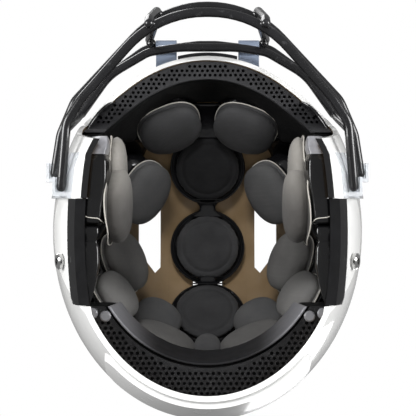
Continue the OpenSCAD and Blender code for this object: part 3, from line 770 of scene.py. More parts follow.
def sweep(name: str, line: list[Vector], radius: float, closed: bool = False) -> Piece:
    """A round rod or cord along a line, with rounded ends, as a mesh.

    Args:
        name: The object's name.
        line: Points in millimetres.
        radius: Radius in millimetres.
        closed: Whether the line closes on itself.

    Returns:
        The object, in metres and at the origin.
    """
    points = [(p, 1.0) for p in line]
    if not closed:
        first, last = (line[1] - line[0]).normalized(), (line[-1] - line[-2]).normalized()
        turns = [math.radians(a) for a in (72.0, 48.0, 24.0)]
        caps = [(radius * math.sin(a), math.cos(a)) for a in turns]
        points = [(line[0] - first * s, c) for s, c in caps] + points
        points += [(line[-1] + last * s, c) for s, c in reversed(caps)]
    curve = bpy.data.curves.new(name, "CURVE")
    curve.dimensions = "3D"
    curve.bevel_depth = radius * MM
    curve.bevel_resolution = 6
    curve.use_fill_caps = not closed
    spline = curve.splines.new("POLY")
    spline.points.add(len(points) - 1)
    spline.use_cyclic_u = closed
    for point, (place, share) in zip(spline.points, points, strict=True):
        point.co = (*(place * MM), 1.0)
        point.radius = share
    rod = placed(name, curve)
    mesh = final_mesh(rod)
    bpy.data.objects.remove(rod)
    bpy.data.curves.remove(curve)
    bm = bmesh.new()
    bm.from_mesh(mesh)
    bpy.data.meshes.remove(mesh)
    bmesh.ops.remove_doubles(bm, verts=bm.verts, dist=1e-6)
    bmesh.ops.recalc_face_normals(bm, faces=bm.faces)
    return to_object(bm, name, 1.0)


def join(main: Piece, *others: Piece) -> None:
    """Adds other objects' meshes to the first one, each as its own material slot number.

    Args:
        main: The object that stays.
        *others: Objects that are added and removed. The faces of the first get slot 1, and so on.
    """
    bm = bmesh.new()
    bm.from_mesh(main.data)
    for number, other in enumerate(others, start=1):
        count = len(bm.faces)
        bm.from_mesh(other.data)
        bm.faces.ensure_lookup_table()
        for face in bm.faces[count:]:
            face.material_index = number
            face.smooth = True
        discard(other)
    bm.to_mesh(main.data)
    bm.free()


def copy_at(model: Piece, name: str, matrix: Matrix) -> Piece:
    """A copy of a piece with its mesh moved to its place.

    Args:
        model: The piece in its own frame.
        name: Name of the copy.
        matrix: The frame, with its place in millimetres.

    Returns:
        The copy, its object at the origin.
    """
    frame = matrix.copy()
    frame.translation = matrix.translation * MM
    mesh = model.data.copy()
    mesh.name = name
    mesh.transform(frame)
    return placed(name, mesh)


@dataclass(frozen=True)
class ShellForm:
    """The two half ellipsoids that the shell and all that lies on its wall are cut from.

    An off is how far the form is drawn in from the shell's outside.
    """

    half_w: float = 121.0
    half_l: float = 147.0
    mid_y: float = 14.5
    equator: float = 115.0
    crown: float = 135.0
    drop: float = 196.0
    wall: float = 3.5
    tuck_half_w: float = 123.0
    tuck_half_l: float = 250.0
    tuck_drop: float = 170.0
    tuck_top: float = 66.0

    def rest(self, z: float, off: float = 0.0) -> float:
        """What a level leaves for the plan."""
        half_h = (self.crown if z > self.equator else self.drop) - off
        return 1 - ((z - self.equator) / half_h) ** 2

    def inside(self, spot: Vector, off: float) -> bool:
        """Whether a point lies inside the form."""
        across, along = spot.x / (self.half_w - off), (spot.y - self.mid_y) / (self.half_l - off)
        return across**2 + along**2 < self.rest(spot.z, off)

    def side_x(self, y: float, z: float) -> float:
        """Distance from the middle plane to the outside."""
        return self.half_w * math.sqrt(max(0.0, self.rest(z) - ((y - self.mid_y) / self.half_l) ** 2))

    def wall_x(self, y: float, z: float) -> float:
        """Distance from the middle plane to the outside, with the tucked lower sides.

        Args:
            y: Place along the helmet.
            z: Level.

        Returns:
            The distance in millimetres.
        """
        full = self.side_x(y, z)
        if z >= self.tuck_top:
            return full
        flat = 1 - ((z - self.equator) / self.tuck_drop) ** 2 - ((y - self.mid_y) / self.tuck_half_l) ** 2
        return min(full, self.tuck_half_w * math.sqrt(max(0.0, flat)))

    def reach(self, x: float, z: float) -> float:
        """Distance along the length from the middle to the outside."""
        return self.half_l * math.sqrt(max(0.0, self.rest(z) - (x / self.half_w) ** 2))

    def crown_z(self, y: float, off: float) -> float:
        """Level of the crown's wall over the middle line."""
        flat = 1 - ((y - self.mid_y) / (self.half_l - off)) ** 2
        return self.equator + (self.crown - off) * math.sqrt(max(0.0, flat))

    def depth(self, start: Vector, way: Vector, off: float, most: float) -> float:
        """Distance from a point inside to the form's wall.

        Args:
            start: The point.
            way: Unit direction.
            off: How far the form is drawn in.
            most: The longest distance that is given back.

        Returns:
            The distance in millimetres.
        """
        low, high = 0.0, most
        if self.inside(start + way * most, off):
            return most
        for _ in range(26):
            mid = (low + high) / 2
            if self.inside(start + way * mid, off):
                low = mid
            else:
                high = mid
        return low


FORM = ShellForm()


@dataclass(frozen=True)
class Pillow:
    """A crowned cushion that bulges over its seam, in its own frame.

    Z points out of its seat and Y to the crown of the helmet. Its back sheet sticks out as a
    thin wavy flange with a light binding. A groove is the radius of a ring pressed in its face.
    """

    width: float
    height: float
    thick: float
    crown_square: float = 2.15
    rim_square: float = 2.6
    bulge_share: float = 0.4
    foot_share: float = 0.88
    foot_turn: float = math.radians(55)
    pressure: float = 3.0
    cap: float = 1.6
    net: float = 2.2
    binding: float = 0.5
    flange: float = 1.1
    wave: float = 1.1
    sag: float = 0.0
    full: float = 0.8
    lean: float = 0.22
    groove: float = 0.0
    folds: int = 30
    fold_depth: float = 0.02

    def edge(self, angle: float, grow: float = 0.0) -> tuple[float, float]:
        """A point of the widest outline, which is rounder towards the crown.

        Args:
            angle: Angle in radians.
            grow: Distance by which the outline is wider.

        Returns:
            Its place across and along.
        """
        share = (1 + math.sin(angle)) / 2
        power = 2 / (self.crown_square * share + self.rim_square * (1 - share))
        across, along = signed_power(math.cos(angle), power), signed_power(math.sin(angle), power)
        return (self.width / 2 + grow) * across, (self.height / 2 + grow) * along

    def blank(self, name: str) -> Piece:
        """The cushion before it is filled, shaped from a ball.

        Args:
            name: Name of the object.

        Returns:
            The blank, with an even net of quads.
        """
        bm = bmesh.new()
        bmesh.ops.create_uvsphere(bm, u_segments=64, v_segments=32, radius=1.0)
        waist = self.thick * self.bulge_share
        turn = math.sin(self.foot_turn)
        for vertex in bm.verts:
            x, y, z = vertex.co
            share = math.hypot(x, y)
            ex, ey = self.edge(math.atan2(y, x))
            if z >= 0:
                wide, level = share**self.full, waist + (self.thick - 0.8 - waist) * z
            elif z > -turn:
                low = -z / turn
                wide, level = 1 - (1 - self.foot_share) * low**2, waist * (1 - low)
            else:
                wide, level = self.foot_share * share / math.cos(self.foot_turn), 0.0
            vertex.co = (ex * wide, ey * wide + self.lean * level, level)
        made = to_object(bm, name)
        remesh(made, self.net)
        return made

    def filled(self, name: str) -> Piece:
        """The cushion with its filling, its puckered seam, its flange and its binding.

        Args:
            name: Name of the object.

        Returns:
            The cushion in its own frame, its flange in material slot 1 and its binding in slot 2.
        """
        made = self.blank(name)
        hold = [max(0.0, 1 - max(0.0, v.co.z / MM - 0.6) / 2.0) for v in made.data.vertices]
        swell(made, hold, self.pressure, self.cap)
        relax(made, 2, 0.4)
        subdivide(made)
        self.pucker(made)
        around = [math.radians(a) for a in range(0, 360, 5)]
        ring = [Vector((*self.edge(a, self.shown(a)), 0.75 + self.lift(a))) for a in around]
        sheet = self.back_sheet(name + "_sheet", around)
        join(made, sheet, sweep(name + "_binding", ring, self.binding, closed=True))
        return made

    def shown(self, angle: float) -> float:
        """How far the flange stands out, which is most towards the rim."""
        rim = (1 - math.sin(angle)) / 2
        return self.flange * rim - 1.8 * (1 - rim) ** 2

    def lift(self, angle: float) -> float:
        """Wave of the flange's edge, which also sags towards the rim."""
        rim = (1 - math.sin(angle)) / 2
        return (self.wave * (0.5 + 0.5 * math.sin(2 * angle + 0.8) * math.cos(3 * angle)) - self.sag * rim) * rim

    def back_sheet(self, name: str, around: list[float]) -> Piece:
        """The fabric's back sheet, whose edge shows as a flange.

        Args:
            name: Name of the object.
            around: Angles of its points.

        Returns:
            The sheet.
        """
        upper = [Vector((*self.edge(a, -6.0), 1.1)) for a in around]
        lower = [Vector((*self.edge(a, -6.0), 0.15)) for a in around]
        rims = [
            [Vector((*self.edge(a, self.shown(a)), low + self.lift(a))) for a in around] for low in (1.1, 0.35)
        ]
        return to_object(loft([upper, *rims, lower]), name)

    def pucker(self, obj: Piece) -> None:
        """Gathers the fabric above the seam in short folds, and keeps its back flat.

        Args:
            obj: The cushion.
        """
        for vertex in obj.data.vertices:
            x, y, z = (c / MM for c in vertex.co)
            if z < SEAT:
                vertex.co.z = SEAT * MM
                continue
            if self.groove:
                vertex.co.z -= 1.1 * MM * math.exp(-(((math.hypot(x, y) - self.groove) / 1.5) ** 2))
            angle = math.atan2(y * self.width, x * self.height)
            near = math.exp(-(((z - 1.8) / 1.8) ** 2))
            fold = math.sin(angle * self.folds + 1.7 * math.sin(angle * 5)) * (0.6 + 0.4 * math.sin(angle * 9 + 2))
            tuck = 1 - self.fold_depth * near * max(0.0, fold)
            vertex.co.x *= tuck
            vertex.co.y *= tuck


@dataclass(frozen=True)
class PodPlace:
    """Where a pod's face lies on the right: its centre, its cushion, and the way it looks."""

    title: str
    centre: Point
    pillow: Pillow
    lift: float
    look: Look
    body_node: str
    sides: tuple[tuple[int, str], ...] = SIDES

    def matrix(self, side: int) -> Matrix:
        """Frame of the pod's face.

        Args:
            side: 1 or -1.

        Returns:
            The frame's matrix, in millimetres.
        """
        x, y, z = self.centre
        way = Vector((-x, -(y - FORM.mid_y), self.lift)).normalized()
        return facing(Vector((side * x, y, z)), Vector((side * way.x, way.y, way.z)))


@dataclass(frozen=True)
class PodLiner:
    """The pods along the wall: a glossy body that reaches out to the shell, and a cushion on it.

    Each row of the profile gives a ring's share of the way to the shell, how much wider it is
    all round and on its lower side, how far it lies behind the face, and its gathers' height.
    """

    inset: float = 5.0
    reach: float = 60.0
    corners: int = 96
    collar: float = 1.5
    profile: tuple[tuple[float, ...], ...] = (
        (0.0, -1.2, 0.0, 0.0, 0.0),
        (0.0, 0.4, 1.0, 0.2, 0.0),
        (0.0, 0.9, 1.6, 0.9, 0.0),
        (0.0, 0.4, 1.4, 2.2, 0.1),
        (0.0, -1.6, 0.2, 3.4, 0.3),
        (0.0, -1.4, 1.2, 4.6, 0.4),
        (0.05, 0.2, 3.2, 6.0, 0.45),
        (0.12, 1.0, 4.4, 8.0, 0.4),
        (0.3, 1.0, 4.2, 8.0, 0.3),
        (0.6, 0.4, 2.4, 5.0, 0.1),
        (1.0, 0.0, 0.0, 0.0, 0.0),
    )

    @staticmethod
    def places() -> tuple[PodPlace, ...]:
        """The pods' places, which repeat the source's table.

        Returns:
            A place for each pair, and one for the single pod at the middle of the rear.
        """

        def rear(x: float, z: float) -> float:
            """Place of the rear wall."""
            return FORM.mid_y + FORM.reach(x, z)

        front_y = FORM.mid_y - FORM.reach(33, 188) + 28
        side_x, temple_x, nape_x = FORM.side_x(42, 146), FORM.side_x(-18, 196), FORM.side_x(66, 90)
        flank = Pillow(52, 41, 15, flange=1.8, wave=1.8)
        nape = Pillow(42, 42, 14, rim_square=3.0, flange=2.0, wave=2.2)
        low = Pillow(54, 42, 14, flange=1.8, wave=2.0)
        middle = Pillow(23, 42, 10)
        # The knit copies carry painted light on the side, nape and low rear cushions and painted shade on the front
        # ones
        return (
            PodPlace("front", (33, front_y, 188), Pillow(54, 50, 15, flange=1.6), -74, Look.KNIT_DARK, "front_pods"),
            PodPlace("temple", (temple_x - 36, -18, 196), Pillow(56, 44, 15), -66, Look.KNIT, "temple_pods"),
            PodPlace("side", (side_x - 44, 42, 153), flank, -56, Look.KNIT_WARM, "side_pods"),
            PodPlace("nape", (nape_x - 38, 67, 90), nape, -36, Look.KNIT_WARM, "nape_pods"),
            PodPlace("rear_upper", (44, rear(44, 168) - 46, 170), Pillow(42, 42, 13), -72, Look.KNIT, "rear_pods"),
            PodPlace("rear", (37, rear(37, 118) - 49, 118), low, -24, Look.KNIT_WARM, "rear_pods"),
            PodPlace("rear", (0, rear(0, 122) - 48.5, 121), middle, -45, Look.KNIT, "rear_pods", ((1, "middle"),)),
        )

    def body(self, name: str, place: PodPlace, side: int) -> Piece:
        """The pod's body: a lipped face, a waist and a wall that swells out to the shell.

        Args:
            name: Name of the piece.
            place: The pod.
            side: 1 or -1.

        Returns:
            The piece.
        """
        frame = place.matrix(side)
        way = -frame.col[2].to_3d()
        edge, off, inset = place.pillow.edge, FORM.wall + SEAT, -self.inset / 2
        angles = [math.tau * k / self.corners for k in range(self.corners)]
        depths = [FORM.depth(frame @ Vector((*edge(a, inset), 0.0)), way, off, self.reach) for a in angles]
        rings = []
        for share, grow, low_grow, down, crimp in self.profile:
            ring = []
            for angle, depth in zip(angles, depths, strict=True):
                low = max(0.0, -math.sin(angle))
                fold = crimp * math.sin(angle * 15 + 2 * math.sin(angle * 4) + 0.5 * down)
                wide = inset + grow + low_grow * low * self.collar + fold * self.collar
                level = min(depth, depth * share + down)
                spot = frame @ Vector((*edge(angle, wide), -level))
                ring.append(spot if FORM.inside(spot, off) else frame @ Vector((*edge(angle, inset), -level)))
            rings.append(ring)
        return to_object(loft(rings), name)

    def build(self) -> None:
        """Makes every pod and its cushion."""
        for place in self.places():
            model = place.pillow.filled(place.title + "_model")
            for side, word in place.sides:
                node = f"{place.title}_cushion_{word}"
                cushion = copy_at(model, node + "_soft", place.matrix(side) @ Matrix.Translation((0, 0, SEAT)))
                settle(cushion, "helmet", place.look, place.look, Look.PIPING, nodes=(node,))
                title = "rear_middle_pod" if word == "middle" else f"{place.title}_pod_{word}"
                settle(self.body(title, place, side), "helmet", Look.POD, nodes=(place.body_node,))
            discard(model)


@dataclass(frozen=True)
class Backing:
    """The black sheet that the wall's pods are welded on, in loose glossy folds along the shell.

    Turns go round the plan, in degrees, with the front at -90.
    """

    from_turn: float = -84.0
    to_turn: float = 27.0
    low: float = 106.0
    low_front: float = 184.0
    high: float = 213.0
    thick: float = 2.2
    folds: float = 1.3
    columns: int = 150
    rows: int = 30

    def spot(self, turn: float, share: float, off: float, folds: float) -> Vector:
        """A point of the sheet on the right side.

        Args:
            turn: Angle round the plan.
            share: Place between the lower and the upper edge, from 0 to 1.
            off: Distance from the shell's outside, in millimetres.
            folds: Height of the folds, in millimetres.

        Returns:
            The point.
        """
        front = 1 / (1 + math.exp((turn + 50) / 4))
        low = self.low + (self.low_front - self.low) * front
        angle = math.radians(turn)
        z = low + (self.high + 3 * math.sin(angle * 9) - low) * share
        wave = math.sin(angle * 26 + 0.09 * z + 1.6 * math.sin(0.07 * z)) * math.sin(0.16 * z + 3 * angle)
        deep = off + folds * wave * math.sin(math.pi * share) ** 0.4
        wide = math.sqrt(FORM.rest(z, deep))
        x = (FORM.half_w - deep) * wide * math.cos(angle)
        return Vector((x, FORM.mid_y + (FORM.half_l - deep) * wide * math.sin(angle), z))

    def build(self) -> None:
        """Makes the sheet of each side."""
        outer = FORM.wall + SEAT
        shares = [k / self.rows for k in range(self.rows + 1)]
        rings = []
        for column in range(self.columns + 1):
            turn = self.from_turn + (self.to_turn - self.from_turn) * column / self.columns
            front = [self.spot(turn, s, outer + self.thick, self.folds) for s in reversed(shares)]
            rings.append([self.spot(turn, s, outer, 0.0) for s in shares] + front)
        for side, word in SIDES:
            skin = loft([on_side(ring, side) for ring in rings])
            settle(to_object(skin, "pod_backing_" + word), "helmet", Look.POD)


@dataclass(frozen=True)
class CrownPods:
    """Three round pods over the crown: a flanged body, a cushion disc, and webs between them.

    The profile goes from the middle of the face over its rolled lip to the drum.
    """

    cushion: Pillow = Pillow(
        57, 57, 9, 2.0, 2.0, cap=1.2, flange=-1.5, wave=0.0, lean=0.0, groove=22.0, binding=0.3
    )
    drop: float = 14.0
    spots: tuple[tuple[str, float, float], ...] = (
        ("front", -39.0, -14.0), ("middle", 31.0, 3.0), ("rear", 88.5, 38.0),
    )
    profile: tuple[tuple[float, float], ...] = (
        (0.0, -0.2), (28.6, -0.2), (29.4, -0.7), (29.9, -1.5), (30.6, -1.5), (31.1, -0.6), (31.8, 0.0),
        (32.5, -0.1), (33.0, -0.7), (33.1, -1.6), (32.7, -2.6), (31.9, -3.0), (27.0, -3.1), (26.1, -3.6),
        (26.0, -4.4),
    )
    web_from: float = 27.0
    web_rise: float = 3.2
    brow_y: float = -94.0

    def matrix(self, number: int) -> Matrix:
        """Frame of a crown pod's face, in millimetres.

        Args:
            number: Which pod, from the front.

        Returns:
            The frame's matrix.
        """
        _, y, tilt = self.spots[number]
        z = FORM.crown_z(y, FORM.wall + self.drop) - (0 if number == 1 else 2)
        return Matrix.Translation((0, y, z)) @ Matrix.Rotation(math.radians(180 - tilt), 4, "X")

    def body(self, name: str, number: int) -> Piece:
        """The flanged body: a rolled lip, a groove inside it, and a drum that ends at the shell.

        Args:
            name: Name of the piece.
            number: Which pod.

        Returns:
            The piece.
        """
        frame = self.matrix(number)
        bm = bmesh.new()
        line = [bm.verts.new((r, 0.0, z)) for r, z in self.profile]
        edges = [bm.edges.new(pair) for pair in zip(line, line[1:])]
        bmesh.ops.spin(
            bm, geom=[*line, *edges], cent=(0, 0, 0), axis=(0, 0, 1), angle=math.tau, steps=96, use_merge=True
        )
        bmesh.ops.remove_doubles(bm, verts=bm.verts, dist=1e-4)
        way = -frame.col[2].to_3d()
        made = bmesh.ops.extrude_edge_only(bm, edges=[e for e in bm.edges if e.is_boundary])["geom"]
        foot = [g for g in made if isinstance(g, bmesh.types.BMVert)]
        for vertex in foot:
            start = frame @ Vector((vertex.co.x, vertex.co.y, 0.0))
            vertex.co.z = -FORM.depth(start, way, FORM.wall + SEAT, 40.0)
        bmesh.ops.contextual_create(bm, geom=foot)
        bmesh.ops.recalc_face_normals(bm, faces=bm.faces)
        bmesh.ops.transform(bm, matrix=frame, verts=bm.verts)
        return to_object(bm, name)

    def web(self, name: str, start: Vector, end: Vector) -> None:
        """The short web that links a pod to its neighbour, narrowest at its middle.

        Args:
            name: Name of the piece.
            start: Centre of its first end, in millimetres.
            end: Centre of its last end.
        """
        turns = [math.radians(15 * k) for k in range(24)]
        section = [(signed_power(math.cos(a), 0.5), 1.3 * signed_power(math.sin(a), 0.7)) for a in turns]
        rings = []
        for step in range(13):
            share = step / 12
            half = 7.0 + 9.0 * (2 * share - 1) ** 2
            spot = start.lerp(end, share) + Vector((0, 0, 1.2 * math.sin(math.pi * share)))
            rings.append([spot + Vector((half * c, 0, s)) for c, s in section])
        settle(to_object(loft(rings), name), "helmet", Look.POD)

    def webs(self) -> None:
        """Links the pods to each other, and the front one to the brow."""
        spots = [self.matrix(number).translation for number in range(3)]
        brow = Vector((0, self.brow_y, FORM.crown_z(self.brow_y, FORM.wall + 6)))
        up = Vector((0, 0, self.web_rise))
        for number, (word, _, _) in enumerate(self.spots):
            first, second = spots[number - 1] if number else brow, spots[number]
            way = (second - first).normalized() * self.web_from
            start = first + way if number else first
            self.web("pod_web_" + word, start + up, second - way + up)

    def build(self) -> None:
        """Makes the webs and the three pods."""
        self.webs()
        model = self.cushion.filled("crown_model")
        for number, (word, _, _) in enumerate(self.spots):
            node = "crown_cushion_" + word
            cushion = copy_at(model, node + "_soft", self.matrix(number) @ Matrix.Translation((0, 0, SEAT)))
            # The crown cushions take darker knit copies as painted shade, and the front one the darkest
            look = Look.KNIT_DARK if number else Look.KNIT_BLACK
            settle(cushion, "helmet", look, Look.POD, Look.POD, nodes=(node,))
            settle(self.body("crown_pod_" + word, number), "helmet", Look.POD, nodes=("crown_pods",))
        discard(model)


@dataclass(frozen=True)
class SkinnedPad:
    """A foam or vinyl pad: the solid's own form with soft edges and a slightly swollen skin."""

    node: str
    look: Look
    net: float = 2.6
    pressure: float = 2.0
    cap: float = 0.8
    rounds: int = 5

    def build(self) -> None:
        """Makes the pad from a merged copy of its solid."""
        bm = bmesh.new()
        bm.from_mesh(bpy.data.objects[self.node].data)
        bmesh.ops.remove_doubles(bm, verts=bm.verts, dist=1e-5)
        made = to_object(bm, self.node + "_soft", 1.0)
        remesh(made, self.net)
        relax(made, self.rounds)
        swell(made, [0.35] * len(made.data.vertices), self.pressure, self.cap, 10)
        smooth(made.data)
        settle(made, "helmet", self.look, nodes=(self.node,))


@dataclass(frozen=True)
class WallPad:
    """A puffed vinyl pad along the lower side, between the shell's wall and an inner face.

    The taper draws its inner face in towards its rear and rim. The slope lifts its lower face
    in front of the first seam. The name of its body has a brace where the side's letter goes.
    """

    title: str
    node: str
    body: str
    front_y: float
    rear_y: float
    bottom: float
    top: float
    inner_low: float
    inner_high: float
    seams: tuple[float, ...]
    taper: float
    slope: float = 0.0
    gap: float = 4.4
    end_square: float = 18
    section_square: float = 0.34
    around: int = 72
    along: int = 34

    def spot(self, turn: float, way: float, puff: float = 0.0) -> Vector:
        """A point of the skin on the right side.

        Args:
            turn: Angle round the section, in radians.
            way: Place along the pad, from -1 to 1.
            puff: Height over the skin, in millimetres.

        Returns:
            The point.
        """
        size = (1 - abs(way) ** self.end_square) ** (1 / self.end_square)
        y = (self.front_y + self.rear_y) / 2 + way * (self.rear_y - self.front_y) / 2
        u, v = (signed_power(c, self.section_square) * size for c in (math.cos(turn), math.sin(turn)))
        z = (self.bottom + self.top) / 2 + v * (self.top - self.bottom) / 2
        high = (z - self.bottom) / (self.top - self.bottom)
        inner = self.inner_low + (self.inner_high - self.inner_low) * high + self.taper * max(0.0, way) * (1 - high)
        outer = FORM.wall_x(y, z) - self.gap
        swollen = puff + 1.3 * math.cos(turn * 2) ** 2 * (1 - way**2)
        swollen -= sum(2.0 * math.exp(-(((y - seam) / 2.6) ** 2)) for seam in self.seams)
        crease = 0.45 * math.sin(0.16 * y + 0.05 * z + 0.6 * math.sin(0.09 * y)) * math.sin(0.045 * z + 0.4)
        x = (inner + outer) / 2 + u * ((outer - inner) / 2) - max(0.0, -u) * (swollen + crease)
        rise = self.slope * min(1.0, max(0.0, (self.seams[0] - y) / (self.seams[0] - self.front_y)))
        return Vector((x, y, z + max(0.0, -v) * (rise - (min(1.5, swollen) - 1.5 + crease) * 0.8)))

    def build(self, side: int, word: str) -> None:
        """Makes the pad of one side, with a welded line at each seam and a hem on a sloped one.

        Args:
            side: 1 or -1.
            word: Name of the side.
        """
        turns = [math.tau * k / self.around for k in range(self.around)]
        ways = [math.sin(math.pi * (k / self.along - 0.5)) * 0.999 for k in range(self.along + 1)]
        rings = [on_side((self.spot(turn, way) for turn in turns), side) for way in ways]
        made = to_object(loft(rings), f"{self.node}_{word}_soft")
        swell(made, [0.3] * len(made.data.vertices), 1.5, 0.7, 10)
        subdivide(made)
        # Downward faces in front of the first seam take the pale panel finish, a painted highlight on the black vinyl
        if self.slope:
            for face in made.data.polygons:
                face.material_index = int(face.center.y < self.seams[0] * MM and face.normal.z < 0)
        settle(made, self.body.format(word[0]), Look.JAW_VINYL, Look.JAW_PANEL, nodes=(f"{self.node}_{word}",))
        for number, seam in enumerate(self.seams):
            self.line(f"{self.title}_seam_{word}_{number}", side, word, seam, Look.JAW_VINYL)
        if self.slope:
            self.line(f"{self.title}_hem_{word}", side, word, self.rear_y - 1.0, Look.PIPING, 0.36, 7.5)

    def line(
        self, name: str, side: int, word: str, place: float, look: Look, radius: float = 0.5, slant: float = 0.0
    ) -> None:
        """A welded or bound line across the pad, over its inner and lower face.

        Args:
            name: Name of the line.
            side: 1 or -1.
            word: Name of the side.
            place: Its place along the helmet.
            look: Its finish.
            radius: Its radius in millimetres.
            slant: How much further forward its outer end lies.
        """
        points = []
        for turn in (math.radians(a) for a in range(130, 290, 5)):
            y = place - slant * (1 + math.cos(turn)) / 2
            way = (y - (self.front_y + self.rear_y) / 2) / ((self.rear_y - self.front_y) / 2)
            points.append(self.spot(turn, way, 0.15))
        settle(sweep(name, on_side(points, side), radius), self.body.format(word[0]), look)


@dataclass(frozen=True)
class Lobe:
    """One swollen lobe of a jaw cushion, in the frame of the jaw pad's face."""

    along: float
    up: float
    turn: float
    pillow: Pillow


@dataclass(frozen=True)
class JawPads:
    """The two jaw pads: a black vinyl body and a taupe cushion of two lobes on its face."""

    face_x: float = 73.0
    lobes: tuple[Lobe, ...] = (
        Lobe(-30.0, 55.0, 6.0, Pillow(
            54, 56, 13, 2.2, cap=2.0, net=2.6, full=0.6, lean=0.0, wave=1.8, flange=1.0,
        )),
        Lobe(-6.0, 40.0, -7.0, Pillow(
            56, 62, 18, 2.2, cap=2.2, net=2.6, full=0.65, lean=0.0, wave=3.6, flange=2.0, sag=3.4,
        )),
    )
    pad: WallPad = WallPad(
        "jaw", "jaw_pad", "jaw_pad_{}", -56.0, 8.0, 5.0, 83.0, 70.5, 74.5, seams=(-42.0,), taper=5.0, slope=6.5
    )

    def matrix(self, side: int, lobe: Lobe) -> Matrix:
        """Frame of a lobe's seat, in millimetres.

        Args:
            side: 1 or -1.
            lobe: The lobe.

        Returns:
            The frame's matrix.
        """
        turn = Matrix.Rotation(math.radians(-side * 90), 4, "Z") @ Matrix.Rotation(math.radians(90), 4, "X")
        tilt = Matrix.Rotation(math.radians(side * lobe.turn), 4, "Z")
        return Matrix.Translation((side * (self.face_x - SEAT), lobe.along, lobe.up)) @ turn @ tilt

    def build(self) -> None:
        """Makes both sides, each cushion with fabric in slots 0 and 1 and binding in slot 2."""
        models = [lobe.pillow.filled(f"jaw_model_{number}") for number, lobe in enumerate(self.lobes)]
        for side, word in SIDES:
            node = "jaw_cushion_" + word
            bm = bmesh.new()
            for model, lobe in zip(models, self.lobes, strict=True):
                part = copy_at(model, node + "_lobe", self.matrix(side, lobe))
                bm.from_mesh(part.data)
                discard(part)
            cushion = to_object(bm, node + "_soft", 1.0)
            looks = (Look.KNIT_TAUPE, Look.KNIT_TAUPE, Look.PIPING)
            settle(cushion, "jaw_pad_" + word[0], *looks, nodes=(node,))
            self.pad.build(side, word)
        for model in models:
            discard(model)


@dataclass(frozen=True)
class FoamPads:
    """The foam behind the perforated facings, the neck band, and the pads along the lower sides."""

    pads: tuple[SkinnedPad, ...] = (
        SkinnedPad("brow_pad", Look.FOAM),
        SkinnedPad("neck_pad", Look.FOAM),
        SkinnedPad("neck_band", Look.BAND, net=1.2, pressure=0.5, cap=0.3, rounds=2),
    )
    side_pad: WallPad = WallPad(
        "side", "side_pad", "helmet", 8.3, 66.0, 8.0, 66.0, 76.0, 91.0, seams=(20.0,), taper=7.0
    )

    def build(self) -> None:
        """Makes every pad."""
        for pad in self.pads:
            pad.build()
        for side, word in SIDES:
            self.side_pad.build(side, word)


